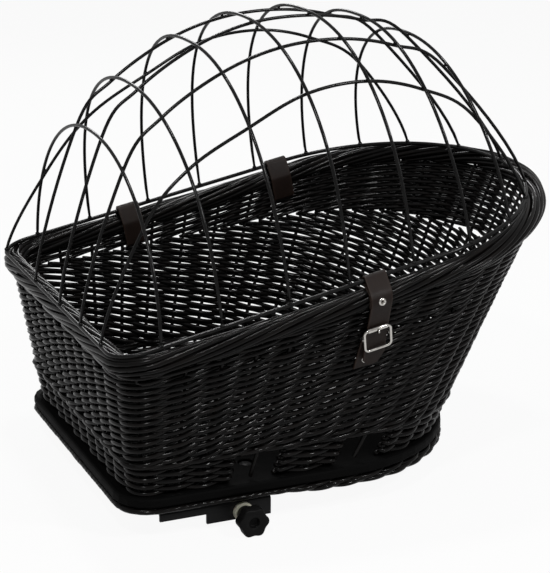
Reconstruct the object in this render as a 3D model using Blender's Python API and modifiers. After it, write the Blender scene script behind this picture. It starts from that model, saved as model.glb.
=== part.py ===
"""Dog basket for a bicycle carrier: a wicker tub on a board, a hinged wire dome,
leather fastenings with a roller buckle, and a rail clamp worked by a star knob.

Metres, +Z up, +X towards the round rear end, +Y towards the hinge side.
Stations are measured along X from the flat front end of the cage ring, and heights
from the underside of the foot border. The origin is the middle of the clamp plate's
underside, the face that rests on the carrier.
"""
import math

import bmesh
import bpy
from mathutils import Matrix, Vector

SEAT_GAP = 0.0003
CUT_OVERRUN = 0.004

BOARD_FRONT = 0.0145
BOARD_CORNER = 0.035
BOARD_ROUND_SHARE = 0.4172
BOARD_THICKNESS = 0.010
BOARD_EDGE_ROUND = 0.0025

FOOT_HEIGHT = 0.008
FOOT_BAND = 0.016
FOOT_EDGE_ROUND = 0.003

RIM_FRONT = 0.007
RIM_LENGTH = 0.480
RIM_WIDTH = 0.382
RIM_CORNER = 0.032
RIM_ROUND_SHARE = 0.35625
RIM_ROLL_RADIUS = 0.010
RIM_FRONT_HEIGHT = 0.1525
RIM_DIP = 0.005
RIM_SLOPE_SHARE = 0.195

SIDE_FLARE = 0.031
REAR_FLARE = 0.089
WALL_THICKNESS = 0.008
WALL_INSET = 0.010
WEAVE_RELIEF = 0.003
WINDOW_HEIGHT = 0.029
WINDOW_STAKE_WIDTH = 0.005
WINDOW_STATIONS = ((0.119, 0.1425, 0.169), (0.229, 0.2525, 0.282))

RING_SIDE_INSET = 0.003
RING_REAR_INSET = 0.0113
RING_WIRE_RADIUS = 0.002
CAGE_WIRE_RADIUS = 0.0016
WELD_GAP = 0.0005

DOME_HEIGHT = 0.214
HOOP_STATION_SHARES = (0.085, 0.205, 0.341, 0.464, 0.598, 0.723, 0.836)
HOOP_HEIGHT_SHARES = (0.708, 0.857, 0.966, 1.0, 0.957, 0.865, 0.719)
HOOP_LEAN_SHARES = (0.01, -0.10, -0.12, -0.12, -0.14, -0.17, -0.21)
HOOP_SIDE_SHARES = (2.15, 2.18, 2.35, 2.17, 2.34, 2.43, 2.27)
HOOP_CROWN_SHARES = (1.83, 2.31, 2.13, 2.68, 2.41, 1.83, 1.90)
LONG_WIRE_SPREAD_SHARES = (
    (0.90, 0.713, 0.66),
    (0.31, 0.317, 0.345),
    (-0.11, -0.082, -0.04),
    (-0.45, -0.425, -0.44),
    (-0.763, -0.717, -0.66),
)
LONG_WIRE_MIDDLE_SHARE = 0.42

HINGE_STRAP_SHARES = (0.2933, 0.6496)
HINGE_STRAP_WIDTH = 0.023
HINGE_STRAP_THICKNESS = 0.0024
HINGE_STRAP_SLACK = 0.0008
HINGE_STRAP_DROP = 0.012
HINGE_STRAP_CORNER = 0.0024
HINGE_SLOT_CLEARANCE = 0.0008

TONGUE_SHARE = 0.514
TONGUE_WIDTH = 0.021
TONGUE_THICKNESS = 0.002
TONGUE_SLACK = 0.0008
TONGUE_WRAP_DEG = -22.0
TONGUE_TIP_DROP = 0.029
TONGUE_TIP_TAPER = 0.006
LAYER_GAP = 0.0004

RIVET_HEAD_RADIUS = 0.0038
RIVET_HEAD_HEIGHT = 0.0014
RIVET_SHANK_RADIUS = 0.0016
RIVET_HOLE_CLEARANCE = 0.0003

BUCKLE_DROP = 0.0342
BUCKLE_OUTER_WIDTH = 0.029
BUCKLE_OUTER_HEIGHT = 0.0245
BUCKLE_WIRE_RADIUS = 0.0013
BUCKLE_CORNER = 0.004
BUCKLE_LIFT = 0.0016
ROLLER_RADIUS = 0.0022
ROLLER_LENGTH = 0.020
ROLLER_CLEARANCE = 0.0003
CENTRE_BAR_RADIUS = 0.0011
PRONG_RADIUS = 0.0009
PRONG_HOLE_WIDTH = 0.003
PRONG_HOLE_LENGTH = 0.0085

LOWER_STRAP_WIDTH = 0.019
LOWER_STRAP_THICKNESS = 0.002
LOWER_STRAP_LENGTH = 0.034
LOWER_FOLD_LAP = 0.008
LOWER_SKEW_SHARE = 0.36

CLAMP_STATION = 0.105
CLAMP_LENGTH = 0.110
CLAMP_THICKNESS = 0.003
CLAMP_EDGE = 0.0075
FLANGE_DEPTH = 0.019
FLANGE_STEP_DEPTH = 0.006
FLANGE_STEP_STATION = 0.096
JAW_LENGTH = 0.100
JAW_THICKNESS = 0.003
JAW_DEPTH = 0.0195
JAW_LIP = 0.010
JAW_PLACE = 0.068
JAW_RUNNING_GAP = 0.0004

STUD_STATION = 0.131
STUD_HEIGHT = -0.0115
STUD_RADIUS = 0.003
STUD_CLEARANCE = 0.0004
STUD_END = 0.078
JAW_NUT_WIDTH = 0.012
JAW_NUT_THICKNESS = 0.007

WASHER_RADIUS = 0.0095
WASHER_THICKNESS = 0.0045
KNOB_RADIUS = 0.015
KNOB_LOBE_DEPTH = 0.0032
KNOB_LOBES = 6
KNOB_THICKNESS = 0.013
KNOB_EDGE_ROUND = 0.0022
KNOB_NECK_RADIUS = 0.0075
KNOB_NECK_LENGTH = 0.013
KNOB_RECESS_RADIUS = 0.005
KNOB_RECESS_DEPTH = 0.006
KNOB_BORE_WALL = 0.003

BOLT_STATIONS = (0.066, 0.151)
BOLT_INSET = 0.0405
BOLT_RADIUS = 0.003
BOLT_CLEARANCE = 0.0004
BOLT_HEAD_RADIUS = 0.0075
BOLT_HEAD_HEIGHT = 0.003
BOLT_RECESS = 0.0035
BOLT_TAIL = 0.0025
BOLT_NUT_WIDTH = 0.010
BOLT_NUT_HEIGHT = 0.005
SPACER_RADIUS = 0.007

SMOOTH_STEPS = (3, 5, 7, 12)
STAKE_STEPS = (5, 2, 7, 10)
WEAVE_ROWS = 24
HOOP_STEPS = 26
SPAN_STEPS = 4
ROUND_SIDES = 16
RIVET_SIDES = 12
SHARP_ANGLE_DEG = 50.0
FLAT_ANGLE_DEG = 0.2

LEATHER = ("brown_leather", (0.045, 0.026, 0.018), 0.55, 0.0)
WICKER = ("black_willow", (0.012, 0.012, 0.013), 0.45, 0.0)
BOARD_PAINT = ("black_board", (0.014, 0.014, 0.014), 0.5, 0.0)
BLACK_WIRE = ("black_wire", (0.01, 0.01, 0.01), 0.35, 0.2)
BRIGHT_STEEL = ("nickel_steel", (0.72, 0.71, 0.68), 0.22, 1.0)
ZINC = ("yellow_zinc", (0.70, 0.66, 0.48), 0.3, 1.0)
DARK_STEEL = ("black_steel", (0.02, 0.02, 0.021), 0.4, 0.6)
KNOB_PLASTIC = ("black_plastic", (0.013, 0.013, 0.013), 0.4, 0.0)

RIM_ROUND_DEPTH = RIM_ROUND_SHARE * RIM_LENGTH
BOARD_WIDTH = RIM_WIDTH - 2 * SIDE_FLARE
BOARD_LENGTH = RIM_FRONT + RIM_LENGTH - REAR_FLARE - BOARD_FRONT
BOARD_ROUND_DEPTH = BOARD_ROUND_SHARE * BOARD_LENGTH
CLAMP_REACH = BOARD_WIDTH / 2 - CLAMP_EDGE
BOLT_REACH = CLAMP_REACH - BOLT_INSET
BOARD_BOTTOM = FOOT_HEIGHT
BOARD_TOP = BOARD_BOTTOM + BOARD_THICKNESS
PLATE_TOP = -SEAT_GAP
PLATE_BOTTOM = PLATE_TOP - CLAMP_THICKNESS
RING_RISE = RIM_ROLL_RADIUS + RING_WIRE_RADIUS + SEAT_GAP
RING_LENGTH = RIM_FRONT + RIM_LENGTH - RING_REAR_INSET
RING_WIDTH = RIM_WIDTH - 2 * RING_SIDE_INSET
RING_CORNER = RIM_CORNER - RING_SIDE_INSET
RING_ROUND_DEPTH = RIM_ROUND_DEPTH - RING_REAR_INSET
HINGE_STRAP_STATIONS = [share * RING_LENGTH for share in HINGE_STRAP_SHARES]
TONGUE_STATION = TONGUE_SHARE * RING_LENGTH
SLOPE_ANGLE = math.atan(RIM_SLOPE_SHARE)

for old in list(bpy.data.objects):
    bpy.data.objects.remove(old, do_unlink=True)
part_collection = bpy.data.collections.new("dog_bicycle_basket")
cutter_collection = bpy.data.collections.new("cutters")
bpy.context.scene.collection.children.link(part_collection)
bpy.context.scene.collection.children.link(cutter_collection)


def place(station, side, height):
    """Turn a station, a side distance and a height into a point."""
    return Vector((station - CLAMP_STATION, side, height - PLATE_BOTTOM))


def rim_height(station):
    """Height of the rolled border's centre line, which dips along the sides."""
    share = min(max((station - RIM_FRONT) / RIM_LENGTH, 0.0), 1.0)
    return RIM_FRONT_HEIGHT + RIM_SLOPE_SHARE * station - RIM_DIP * math.sin(math.pi * share)


def ring_height(station):
    """Height of the cage ring's wire, straight along the slope of the rim."""
    return RIM_FRONT_HEIGHT + RING_RISE + RIM_SLOPE_SHARE * station


def half_outline(front, length, width, corner, round_depth, steps):
    """Plan outline from the middle of the flat end to the tip of the round end."""
    flat_steps, corner_steps, side_steps, round_steps = steps
    half = width / 2
    points = [(front, (half - corner) * k / flat_steps) for k in range(flat_steps)]
    for k in range(corner_steps + 1):
        turn = math.pi / 2 * k / corner_steps
        points.append((front + corner * (1 - math.cos(turn)), half - corner * (1 - math.sin(turn))))
    side_start = front + corner
    side_end = front + length - round_depth
    for k in range(1, side_steps):
        points.append((side_start + (side_end - side_start) * k / side_steps, half))
    for k in range(round_steps + 1):
        turn = math.pi / 2 * k / round_steps
        points.append((side_end + round_depth * math.sin(turn), half * math.cos(turn)))
    points[-1] = (front + length, 0.0)
    return points


def full_outline(front, length, width, corner, round_depth, steps=SMOOTH_STEPS):
    """The whole plan outline, as a closed run of points."""
    half = half_outline(front, length, width, corner, round_depth, steps)
    return half + [(x, -y) for x, y in reversed(half[1:-1])]


def board_outline(inset, steps=SMOOTH_STEPS):
    return full_outline(BOARD_FRONT + inset, BOARD_LENGTH - 2 * inset, BOARD_WIDTH - 2 * inset,
                        BOARD_CORNER - inset, BOARD_ROUND_DEPTH - inset, steps)


def rim_outline(steps=SMOOTH_STEPS):
    return full_outline(RIM_FRONT, RIM_LENGTH, RIM_WIDTH, RIM_CORNER, RIM_ROUND_DEPTH, steps)


def ring_side(station):
    """Distance of the ring's wire from the middle plane at a station."""
    half = RING_WIDTH / 2
    if station < RING_CORNER:
        return half - RING_CORNER + math.sqrt(max(RING_CORNER ** 2 - (RING_CORNER - station) ** 2, 0.0))
    start = RING_LENGTH - RING_ROUND_DEPTH
    if station < start:
        return half
    return half * math.sqrt(max(1 - ((station - start) / RING_ROUND_DEPTH) ** 2, 0.0))


def ring_front_station(side):
    """Station of the ring's flat end, or of its corner, at a side distance."""
    past = abs(side) - (RING_WIDTH / 2 - RING_CORNER)
    if past <= 0:
        return 0.0
    return RING_CORNER - math.sqrt(max(RING_CORNER ** 2 - past ** 2, 0.0))


def ring_rear_station(side):
    """Station of the ring's round end at a side distance."""
    bend = math.sqrt(max(1 - (2 * side / RING_WIDTH) ** 2, 0.0))
    return RING_LENGTH - RING_ROUND_DEPTH * (1 - bend)


def material(finish):
    name, colour, roughness, metallic = finish
    found = bpy.data.materials.get(name)
    if found:
        return found
    made = bpy.data.materials.new(name)
    made.use_nodes = True
    shader = made.node_tree.nodes["Principled BSDF"]
    shader.inputs["Base Color"].default_value = (*colour, 1.0)
    shader.inputs["Roughness"].default_value = roughness
    shader.inputs["Metallic"].default_value = metallic
    made.diffuse_color = (*colour, 1.0)
    return made


def add_object(name, data, finish, parent=None):
    """Add a finished part to the part's collection, riding on a joint's empty if it moves."""
    made = bpy.data.objects.new(name, data)
    part_collection.objects.link(made)
    if finish:
        data.materials.clear()
        data.materials.append(material(finish))
    if parent:
        made.parent = parent
        made.matrix_parent_inverse = parent.matrix_world.inverted()
    return made


def add_axis(name, point, direction, parent=None):
    """An empty on a joint's axis, with its own Z along the axis."""
    made = bpy.data.objects.new(name, None)
    part_collection.objects.link(made)
    made.empty_display_size = RIM_ROLL_RADIUS
    made.matrix_world = Matrix.Translation(point) @ direction.to_track_quat("Z", "Y").to_matrix().to_4x4()
    bpy.context.view_layer.update()
    if parent:
        keep = made.matrix_world.copy()
        made.parent = parent
        made.matrix_parent_inverse = parent.matrix_world.inverted()
        made.matrix_world = keep
        bpy.context.view_layer.update()
    return made


def wire_curve(name, points, radius, closed=False, resolution=2):
    """A round wire through points, as a poly curve with a bevel."""
    curve = bpy.data.curves.new(name, "CURVE")
    curve.dimensions = "3D"
    curve.bevel_depth = radius
    curve.bevel_resolution = resolution
    curve.use_fill_caps = True
    spline = curve.splines.new("POLY")
    spline.points.add(len(points) - 1)
    for target, point in zip(spline.points, points):
        target.co = (*point, 1.0)
    spline.use_cyclic_u = closed
    spline.use_smooth = True
    return curve


def flat_curve(name, loops, thickness):
    """A flat plate from closed loops of points, the first one outside."""
    curve = bpy.data.curves.new(name, "CURVE")
    curve.dimensions = "2D"
    curve.fill_mode = "BOTH"
    curve.extrude = thickness / 2
    for loop in loops:
        spline = curve.splines.new("POLY")
        spline.points.add(len(loop) - 1)
        for target, point in zip(spline.points, loop):
            target.co = (point[0], point[1], 0.0, 1.0)
        spline.use_cyclic_u = True
    return curve


def mesh_from(curve, matrix):
    """Turn a curve into a welded mesh, put in place by a matrix."""
    holder = bpy.data.objects.new("holder", curve)
    cutter_collection.objects.link(holder)
    bpy.context.view_layer.update()
    depsgraph = bpy.context.evaluated_depsgraph_get()
    mesh = bpy.data.meshes.new_from_object(holder.evaluated_get(depsgraph))
    bpy.data.objects.remove(holder, do_unlink=True)
    body = bmesh.new()
    body.from_mesh(mesh)
    bmesh.ops.remove_doubles(body, verts=body.verts, dist=SEAT_GAP / 20)
    bmesh.ops.dissolve_limit(body, angle_limit=math.radians(FLAT_ANGLE_DEG), verts=body.verts,
                             edges=body.edges)
    bmesh.ops.transform(body, matrix=matrix, verts=body.verts)
    bmesh.ops.recalc_face_normals(body, faces=body.faces)
    body.to_mesh(mesh)
    body.free()
    return mesh


def box_mesh(name, low, high, matrix=None):
    """A box between two corners."""
    mesh = bpy.data.meshes.new(name)
    body = bmesh.new()
    bmesh.ops.create_cube(body, size=1.0)
    low = Vector(low)
    high = Vector(high)
    size = high - low
    bmesh.ops.scale(body, vec=size, verts=body.verts)
    bmesh.ops.translate(body, vec=(low + high) / 2, verts=body.verts)
    if matrix:
        bmesh.ops.transform(body, matrix=matrix, verts=body.verts)
    body.to_mesh(mesh)
    body.free()
    return mesh


def rod_mesh(name, radius, length, matrix, sides=ROUND_SIDES):
    """A rod along Z, centred, put in place by a matrix."""
    mesh = bpy.data.meshes.new(name)
    body = bmesh.new()
    bmesh.ops.create_cone(body, cap_ends=True, segments=sides, radius1=radius, radius2=radius, depth=length)
    bmesh.ops.transform(body, matrix=matrix, verts=body.verts)
    body.to_mesh(mesh)
    body.free()
    return mesh


def add_cutter(mesh):
    made = bpy.data.objects.new(mesh.name + "_cutter", mesh)
    cutter_collection.objects.link(made)
    made.hide_render = True
    made.display_type = "WIRE"
    return made


def boolean(target, mesh, operation="DIFFERENCE"):
    modifier = target.modifiers.new(operation.lower(), "BOOLEAN")
    modifier.operation = operation
    modifier.object = add_cutter(mesh)
    modifier.solver = "EXACT"


def round_edges(target, radius):
    """Round the sharp edges that are there before any hole is cut."""
    modifier = target.modifiers.new("edges", "BEVEL")
    modifier.width = radius
    modifier.segments = 2
    modifier.limit_method = "ANGLE"
    modifier.angle_limit = math.radians(SHARP_ANGLE_DEG)


def turned(name, profile, matrix, finish, parent=None, sides=ROUND_SIDES):
    """A turned piece: a profile of radius and height, spun round its own Z."""
    mesh = bpy.data.meshes.new(name)
    points = [(radius, 0.0, height) for radius, height in profile]
    closed = profile[0][0] > 0
    count = len(points)
    edges = [(k, (k + 1) % count) for k in range(count if closed else count - 1)]
    mesh.from_pydata(points, edges, [])
    made = add_object(name, mesh, finish)
    made.matrix_world = matrix
    screw = made.modifiers.new("screw", "SCREW")
    screw.steps = sides
    screw.render_steps = sides
    screw.use_merge_vertices = True
    screw.merge_threshold = SEAT_GAP / 30
    if parent:
        made.parent = parent
        made.matrix_parent_inverse = parent.matrix_world.inverted()
    return made


def smooth(made, angle_deg=40.0):
    mesh = made.data
    mesh.shade_smooth()
    mesh.set_sharp_from_angle(angle=math.radians(angle_deg))


def strip_sides(path, thickness, closed=False):
    """The two edges of a bent strip whose middle line is a run of points."""
    count = len(path)
    left = []
    right = []
    for k in range(count):
        here = Vector(path[k])
        before = Vector(path[k - 1]) if (closed or k > 0) else None
        after = Vector(path[(k + 1) % count]) if (closed or k < count - 1) else None
        arriving = (here - before).normalized() if before is not None else (after - here).normalized()
        leaving = (after - here).normalized() if after is not None else arriving
        along = (arriving + leaving).normalized()
        reach = thickness / 2 / max(along.dot(leaving), 0.5)
        normal = Vector((-along.y, along.x))
        left.append(here + normal * reach)
        right.append(here - normal * reach)
    return left, right


def arc(centre, radius, start_deg, end_deg, steps=6):
    points = []
    for k in range(steps + 1):
        turn = math.radians(start_deg + (end_deg - start_deg) * k / steps)
        points.append((centre[0] + radius * math.cos(turn), centre[1] + radius * math.sin(turn)))
    return points


def belt_angles(upper, upper_radius, lower, lower_radius):
    """Where a belt round two circles leaves them on its right and on its left."""
    rise = Vector(upper) - Vector(lower)
    base = math.degrees(math.atan2(rise.y, rise.x))
    spread = math.degrees(math.acos((lower_radius - upper_radius) / rise.length))
    return base - spread, base + spread


def smooth_run(points, start_tangent, end_tangent, steps):
    """A smooth run through points, with given directions at its two ends."""
    tangents = [start_tangent]
    for k in range(1, len(points) - 1):
        tangents.append((points[k + 1] - points[k - 1]) / 2)
    tangents.append(end_tangent)
    run = []
    for k in range(len(points) - 1):
        for j in range(steps):
            t = j / steps
            run.append(points[k] * (2 * t ** 3 - 3 * t ** 2 + 1) + tangents[k] * (t ** 3 - 2 * t ** 2 + t)
                       + points[k + 1] * (3 * t ** 2 - 2 * t ** 3) + tangents[k + 1] * (t ** 3 - t ** 2))
    run.append(points[-1])
    return run


# Joint axes

hinge_direction = Vector((1.0, 0.0, RIM_SLOPE_SHARE)).normalized()
hinge_point = place(HINGE_STRAP_STATIONS[0], RING_WIDTH / 2, ring_height(HINGE_STRAP_STATIONS[0]))
dome_axis = add_axis("dome_hinge_axis", hinge_point, hinge_direction)
stud_point = place(STUD_STATION, -CLAMP_REACH, STUD_HEIGHT)
knob_axis = add_axis("knob_turn_axis", stud_point, Vector((0.0, -1.0, 0.0)))
jaw_axis = add_axis("jaw_slide_axis", place(STUD_STATION, -JAW_PLACE, STUD_HEIGHT), Vector((0.0, -1.0, 0.0)))


# Base board and foot border

def make_board():
    plate = flat_curve("base_board", [board_outline(0.0)], BOARD_THICKNESS)
    level = place(0.0, 0.0, (BOARD_BOTTOM + BOARD_TOP) / 2)
    board = add_object("base_board", mesh_from(plate, Matrix.Translation(level)), BOARD_PAINT)
    round_edges(board, BOARD_EDGE_ROUND)
    for station in BOLT_STATIONS:
        for side in (-BOLT_REACH, BOLT_REACH):
            hole = Matrix.Translation(place(station, side, (BOARD_BOTTOM + BOARD_TOP) / 2))
            boolean(board, rod_mesh("bolt_hole", BOLT_RADIUS + BOLT_CLEARANCE,
                                    BOARD_THICKNESS + 2 * CUT_OVERRUN, hole))
            recess = Matrix.Translation(place(station, side, BOARD_TOP))
            boolean(board, rod_mesh("bolt_recess", BOLT_HEAD_RADIUS + BOLT_CLEARANCE,
                                    2 * BOLT_RECESS, recess))


def make_foot_border():
    band = flat_curve("foot_border", [board_outline(0.0), board_outline(FOOT_BAND)], FOOT_HEIGHT - SEAT_GAP)
    level = place(0.0, 0.0, (FOOT_HEIGHT - SEAT_GAP) / 2)
    border = add_object("foot_border", mesh_from(band, Matrix.Translation(level)), WICKER)
    round_edges(border, FOOT_EDGE_ROUND)


# Wicker wall, lofted from the board to the rim

def wall_lines():
    """A line for each stake: its foot, its run up to just under the rim, and the way out of the wall."""
    lows = [place(x, y, BOARD_BOTTOM) for x, y in board_outline(WALL_INSET + WALL_THICKNESS / 2, STAKE_STEPS)]
    highs = [place(x, y, rim_height(x)) for x, y in rim_outline(STAKE_STEPS)]
    lines = []
    for k, (bottom, top) in enumerate(zip(lows, highs)):
        along = (highs[(k + 1) % len(highs)] - highs[k - 1]).normalized()
        clear = (top - bottom).cross(along).length
        reach = 1 - (RIM_ROLL_RADIUS + 2 * SEAT_GAP) / clear
        lines.append((bottom, (top - bottom) * reach, (top - bottom).cross(along).normalized()))
    return lines


def woven_face(body, lines, hand):
    """One face of the weave: it stands out where a row passes a stake on this side, by turns."""
    rows = []
    for row in range(WEAVE_ROWS + 1):
        verts = []
        for k, (foot, run, out) in enumerate(lines):
            passes = (row + k) % 2 == (0 if hand > 0 else 1)
            stand = WALL_THICKNESS / 2 - (0.0 if passes else WEAVE_RELIEF)
            verts.append(body.verts.new(foot + run * (row / WEAVE_ROWS) + out * (hand * stand)))
        rows.append(verts)
    count = len(lines)
    for row in range(WEAVE_ROWS):
        lower, upper = rows[row], rows[row + 1]
        for k in range(count):
            after = (k + 1) % count
            corners = [lower[k], lower[after], upper[after], upper[k]]
            if (row + k) % 2 != (0 if hand > 0 else 1):
                corners = corners[1:] + corners[:1]
            body.faces.new((corners[0], corners[1], corners[2]))
            body.faces.new((corners[0], corners[2], corners[3]))
    return rows[0], rows[-1]


def make_wall():
    mesh = bpy.data.meshes.new("wicker_wall")
    body = bmesh.new()
    lines = wall_lines()
    outer_foot, outer_top = woven_face(body, lines, 1)
    inner_foot, inner_top = woven_face(body, lines, -1)
    count = len(lines)
    for outer, inner in ((outer_foot, inner_foot), (outer_top, inner_top)):
        for k in range(count):
            after = (k + 1) % count
            body.faces.new((outer[k], outer[after], inner[after]))
            body.faces.new((outer[k], inner[after], inner[k]))
    bmesh.ops.recalc_face_normals(body, faces=body.faces)
    body.to_mesh(mesh)
    body.free()
    wall = add_object("wicker_wall", mesh, WICKER)
    reach = RIM_LENGTH
    boolean(wall, box_mesh("wall_foot", place(-reach, -reach, -reach),
                           place(2 * reach, reach, BOARD_TOP + SEAT_GAP)))
    for start, stake, end in WINDOW_STATIONS:
        for left, right in ((start, stake - WINDOW_STAKE_WIDTH / 2), (stake + WINDOW_STAKE_WIDTH / 2, end)):
            boolean(wall, box_mesh("window", place(left, -RIM_WIDTH / 2, BOARD_BOTTOM),
                                   place(right, 0.0, BOARD_TOP + WINDOW_HEIGHT)))
    for station in HINGE_STRAP_STATIONS:
        boolean(wall, hinge_slot_mesh(station))
    return wall


def make_rim():
    points = [place(x, y, rim_height(x)) for x, y in rim_outline()]
    roll = wire_curve("rim_border", points, RIM_ROLL_RADIUS, closed=True, resolution=3)
    add_object("rim_border", roll, WICKER)


# Wire dome

def make_ring():
    points = []
    for x, y in full_outline(0.0, RING_LENGTH, RING_WIDTH, RING_CORNER, RING_ROUND_DEPTH):
        points.append(place(x, y, ring_height(x)))
    curve = wire_curve("cage_ring", points, RING_WIRE_RADIUS, closed=True)
    add_object("cage_ring", curve, BLACK_WIRE, dome_axis)


def hoop_point(index, side):
    """The middle of a hoop's wire at a side distance from the middle plane."""
    station = HOOP_STATION_SHARES[index] * RING_LENGTH
    half = ring_side(station)
    share = min(abs(side) / half, 1.0)
    rise = HOOP_HEIGHT_SHARES[index] * DOME_HEIGHT
    up = rise * (1 - share ** HOOP_SIDE_SHARES[index]) ** (1 / HOOP_CROWN_SHARES[index])
    foot = RING_WIRE_RADIUS + WELD_GAP
    return place(station + HOOP_LEAN_SHARES[index] * up, side, ring_height(station) + max(up, foot))


def long_wire_side(wire, share):
    """Side distance of a long wire, on a smooth bend through its three spreads."""
    front, middle, rear = LONG_WIRE_SPREAD_SHARES[wire]
    m = LONG_WIRE_MIDDLE_SHARE
    at_front = (share - m) * (share - 1) / m
    at_middle = share * (share - 1) / (m * (m - 1))
    at_rear = share * (share - m) / (1 - m)
    return (front * at_front + middle * at_middle + rear * at_rear) * RING_WIDTH / 2


def make_hoop(index):
    station = HOOP_STATION_SHARES[index] * RING_LENGTH
    half = ring_side(station)
    share = HOOP_STATION_SHARES[index]
    crossings = [long_wire_side(wire, share) for wire in range(len(LONG_WIRE_SPREAD_SHARES))]
    sides = []
    for k in range(HOOP_STEPS + 1):
        turn = math.pi * (k / HOOP_STEPS - 1 / 2)
        sides.append(half * math.sin(turn))
    spacing = half * math.pi / HOOP_STEPS / 2
    kept = [side for side in sides[1:-1] if all(abs(side - crossing) > spacing for crossing in crossings)]
    run = sorted([sides[0], sides[-1]] + kept + crossings)
    points = [hoop_point(index, side) for side in run]
    name = "hoop_%d" % (index + 1)
    add_object(name, wire_curve(name, points, CAGE_WIRE_RADIUS, resolution=1), BLACK_WIRE, dome_axis)


def make_long_wire(wire):
    """A long wire lies just inside the hoops, one wire's thickness in from each of them."""
    foot = RING_WIRE_RADIUS + WELD_GAP
    front_side = long_wire_side(wire, 0.0)
    rear_side = long_wire_side(wire, 1.0)
    front_station = ring_front_station(front_side)
    rear_station = ring_rear_station(rear_side)
    front = place(front_station, front_side, ring_height(front_station) + foot)
    rear = place(rear_station, rear_side, ring_height(rear_station) + foot)
    sides = [long_wire_side(wire, share) for share in HOOP_STATION_SHARES]
    crossings = [hoop_point(index, side) for index, side in enumerate(sides)]
    run = [front] + crossings + [rear]
    points = [front]
    step = RING_WIDTH / HOOP_STEPS
    for index, crossing in enumerate(crossings):
        along = run[index + 2] - run[index]
        across = hoop_point(index, sides[index] + step) - hoop_point(index, sides[index] - step)
        inward = along.cross(across).normalized()
        if inward.z > 0:
            inward.negate()
        points.append(crossing + inward * (2 * CAGE_WIRE_RADIUS + WELD_GAP))
    points.append(rear)
    front_rise = points[1] - front
    rear_drop = rear - points[-2]
    start = Vector((front_rise.x / 2, front_rise.y, front_rise.z))
    end = Vector((rear_drop.x / 2, rear_drop.y, rear_drop.z))
    name = "long_wire_%d" % (wire + 1)
    curve = wire_curve(name, smooth_run(points, start, end, SPAN_STEPS), CAGE_WIRE_RADIUS, resolution=1)
    add_object(name, curve, BLACK_WIRE, dome_axis)


# Leather hinge straps, in a frame whose X runs along the ring

def hinge_frame(station):
    """Profile X points away from the middle, profile Y up from the ring, width along the ring."""
    origin = place(station, 0.0, ring_height(station))
    tilt = Matrix.Rotation(-SLOPE_ANGLE, 4, "Y")
    axes = Matrix(((0, 0, 1, 0), (1, 0, 0, 0), (0, 1, 0, 0), (0, 0, 0, 1)))
    return Matrix.Translation(origin) @ tilt @ axes


def hinge_loop(station):
    """Middle line of the leather loop round the ring and the rim."""
    middle = HINGE_STRAP_THICKNESS / 2
    ring = (RING_WIDTH / 2, 0.0)
    roll = (RIM_WIDTH / 2, (rim_height(station) - ring_height(station)) * math.cos(SLOPE_ANGLE))
    ring_radius = RING_WIRE_RADIUS + HINGE_STRAP_SLACK + middle
    roll_radius = RIM_ROLL_RADIUS + 2 * SEAT_GAP + middle
    bottom = roll[1] - RIM_ROLL_RADIUS - HINGE_STRAP_DROP
    corner = HINGE_STRAP_CORNER
    right, left = belt_angles(ring, ring_radius, roll, roll_radius)
    path = arc(ring, ring_radius, right, left)
    path += arc(roll, roll_radius, left, 180, 3)
    path += arc((roll[0] - roll_radius + corner, bottom + corner), corner, 180, 270, 4)
    path += arc((roll[0] + roll_radius - corner, bottom + corner), corner, 270, 360, 4)
    path += arc(roll, roll_radius, 0, right, 4)
    return path, bottom, roll[0] + roll_radius + middle, roll[1]


def hinge_slot_mesh(station):
    """The slot between the weave's rows through which the strap passes."""
    path, bottom, outer, roll_level = hinge_loop(station)
    half_width = HINGE_STRAP_WIDTH / 2 + HINGE_SLOT_CLEARANCE
    half_height = HINGE_STRAP_THICKNESS / 2 + HINGE_SLOT_CLEARANCE
    low = (RIM_WIDTH / 4, bottom - half_height, -half_width)
    high = (RIM_WIDTH, bottom + half_height, half_width)
    return box_mesh("hinge_slot", low, high, hinge_frame(station))


def rivet_matrix(frame, across, up, turn_deg):
    """A rivet with its head towards profile +X, turned in the profile plane."""
    turn = Matrix.Rotation(math.radians(turn_deg), 4, "Z") @ Matrix.Rotation(math.pi / 2, 4, "Y")
    return frame @ Matrix.Translation((across, up, 0.0)) @ turn


def make_rivet(name, matrix, depth, finish, parent=None):
    """A domed rivet: its head sits on Z 0, its shank runs down by the depth."""
    head = RIVET_HEAD_RADIUS
    profile = [(0.0, RIVET_HEAD_HEIGHT), (head * 0.5, RIVET_HEAD_HEIGHT * 0.93),
               (head * 0.85, RIVET_HEAD_HEIGHT * 0.6), (head, RIVET_HEAD_HEIGHT * 0.2), (head, 0.0),
               (RIVET_SHANK_RADIUS, 0.0), (RIVET_SHANK_RADIUS, -depth), (0.0, -depth)]
    return turned(name, profile, matrix, finish, parent, RIVET_SIDES)


def rivet_hole(matrix, depth):
    centre = Matrix.Translation((0.0, 0.0, -depth / 2))
    return rod_mesh("rivet_hole", RIVET_SHANK_RADIUS + RIVET_HOLE_CLEARANCE, depth + 2 * SEAT_GAP,
                    matrix @ centre, RIVET_SIDES)


def make_hinge_strap(number, station):
    path, bottom, outer, roll_level = hinge_loop(station)
    left, right = strip_sides(path, HINGE_STRAP_THICKNESS, closed=True)
    curve = flat_curve("hinge_strap", [left, right], HINGE_STRAP_WIDTH)
    frame = hinge_frame(station)
    strap = add_object("hinge_strap_%d" % number, mesh_from(curve, frame), LEATHER)
    level = roll_level - RIM_ROLL_RADIUS / 2
    head = rivet_matrix(frame, outer + SEAT_GAP, level, 0.0)
    depth = HINGE_STRAP_THICKNESS + SEAT_GAP / 2
    boolean(strap, rivet_hole(head, depth + SEAT_GAP))
    make_rivet("hinge_strap_rivet_%d" % number, head, depth, BRIGHT_STEEL)


# Front closure: tongue strap on the ring, buckle and lower strap on the wall

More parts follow.
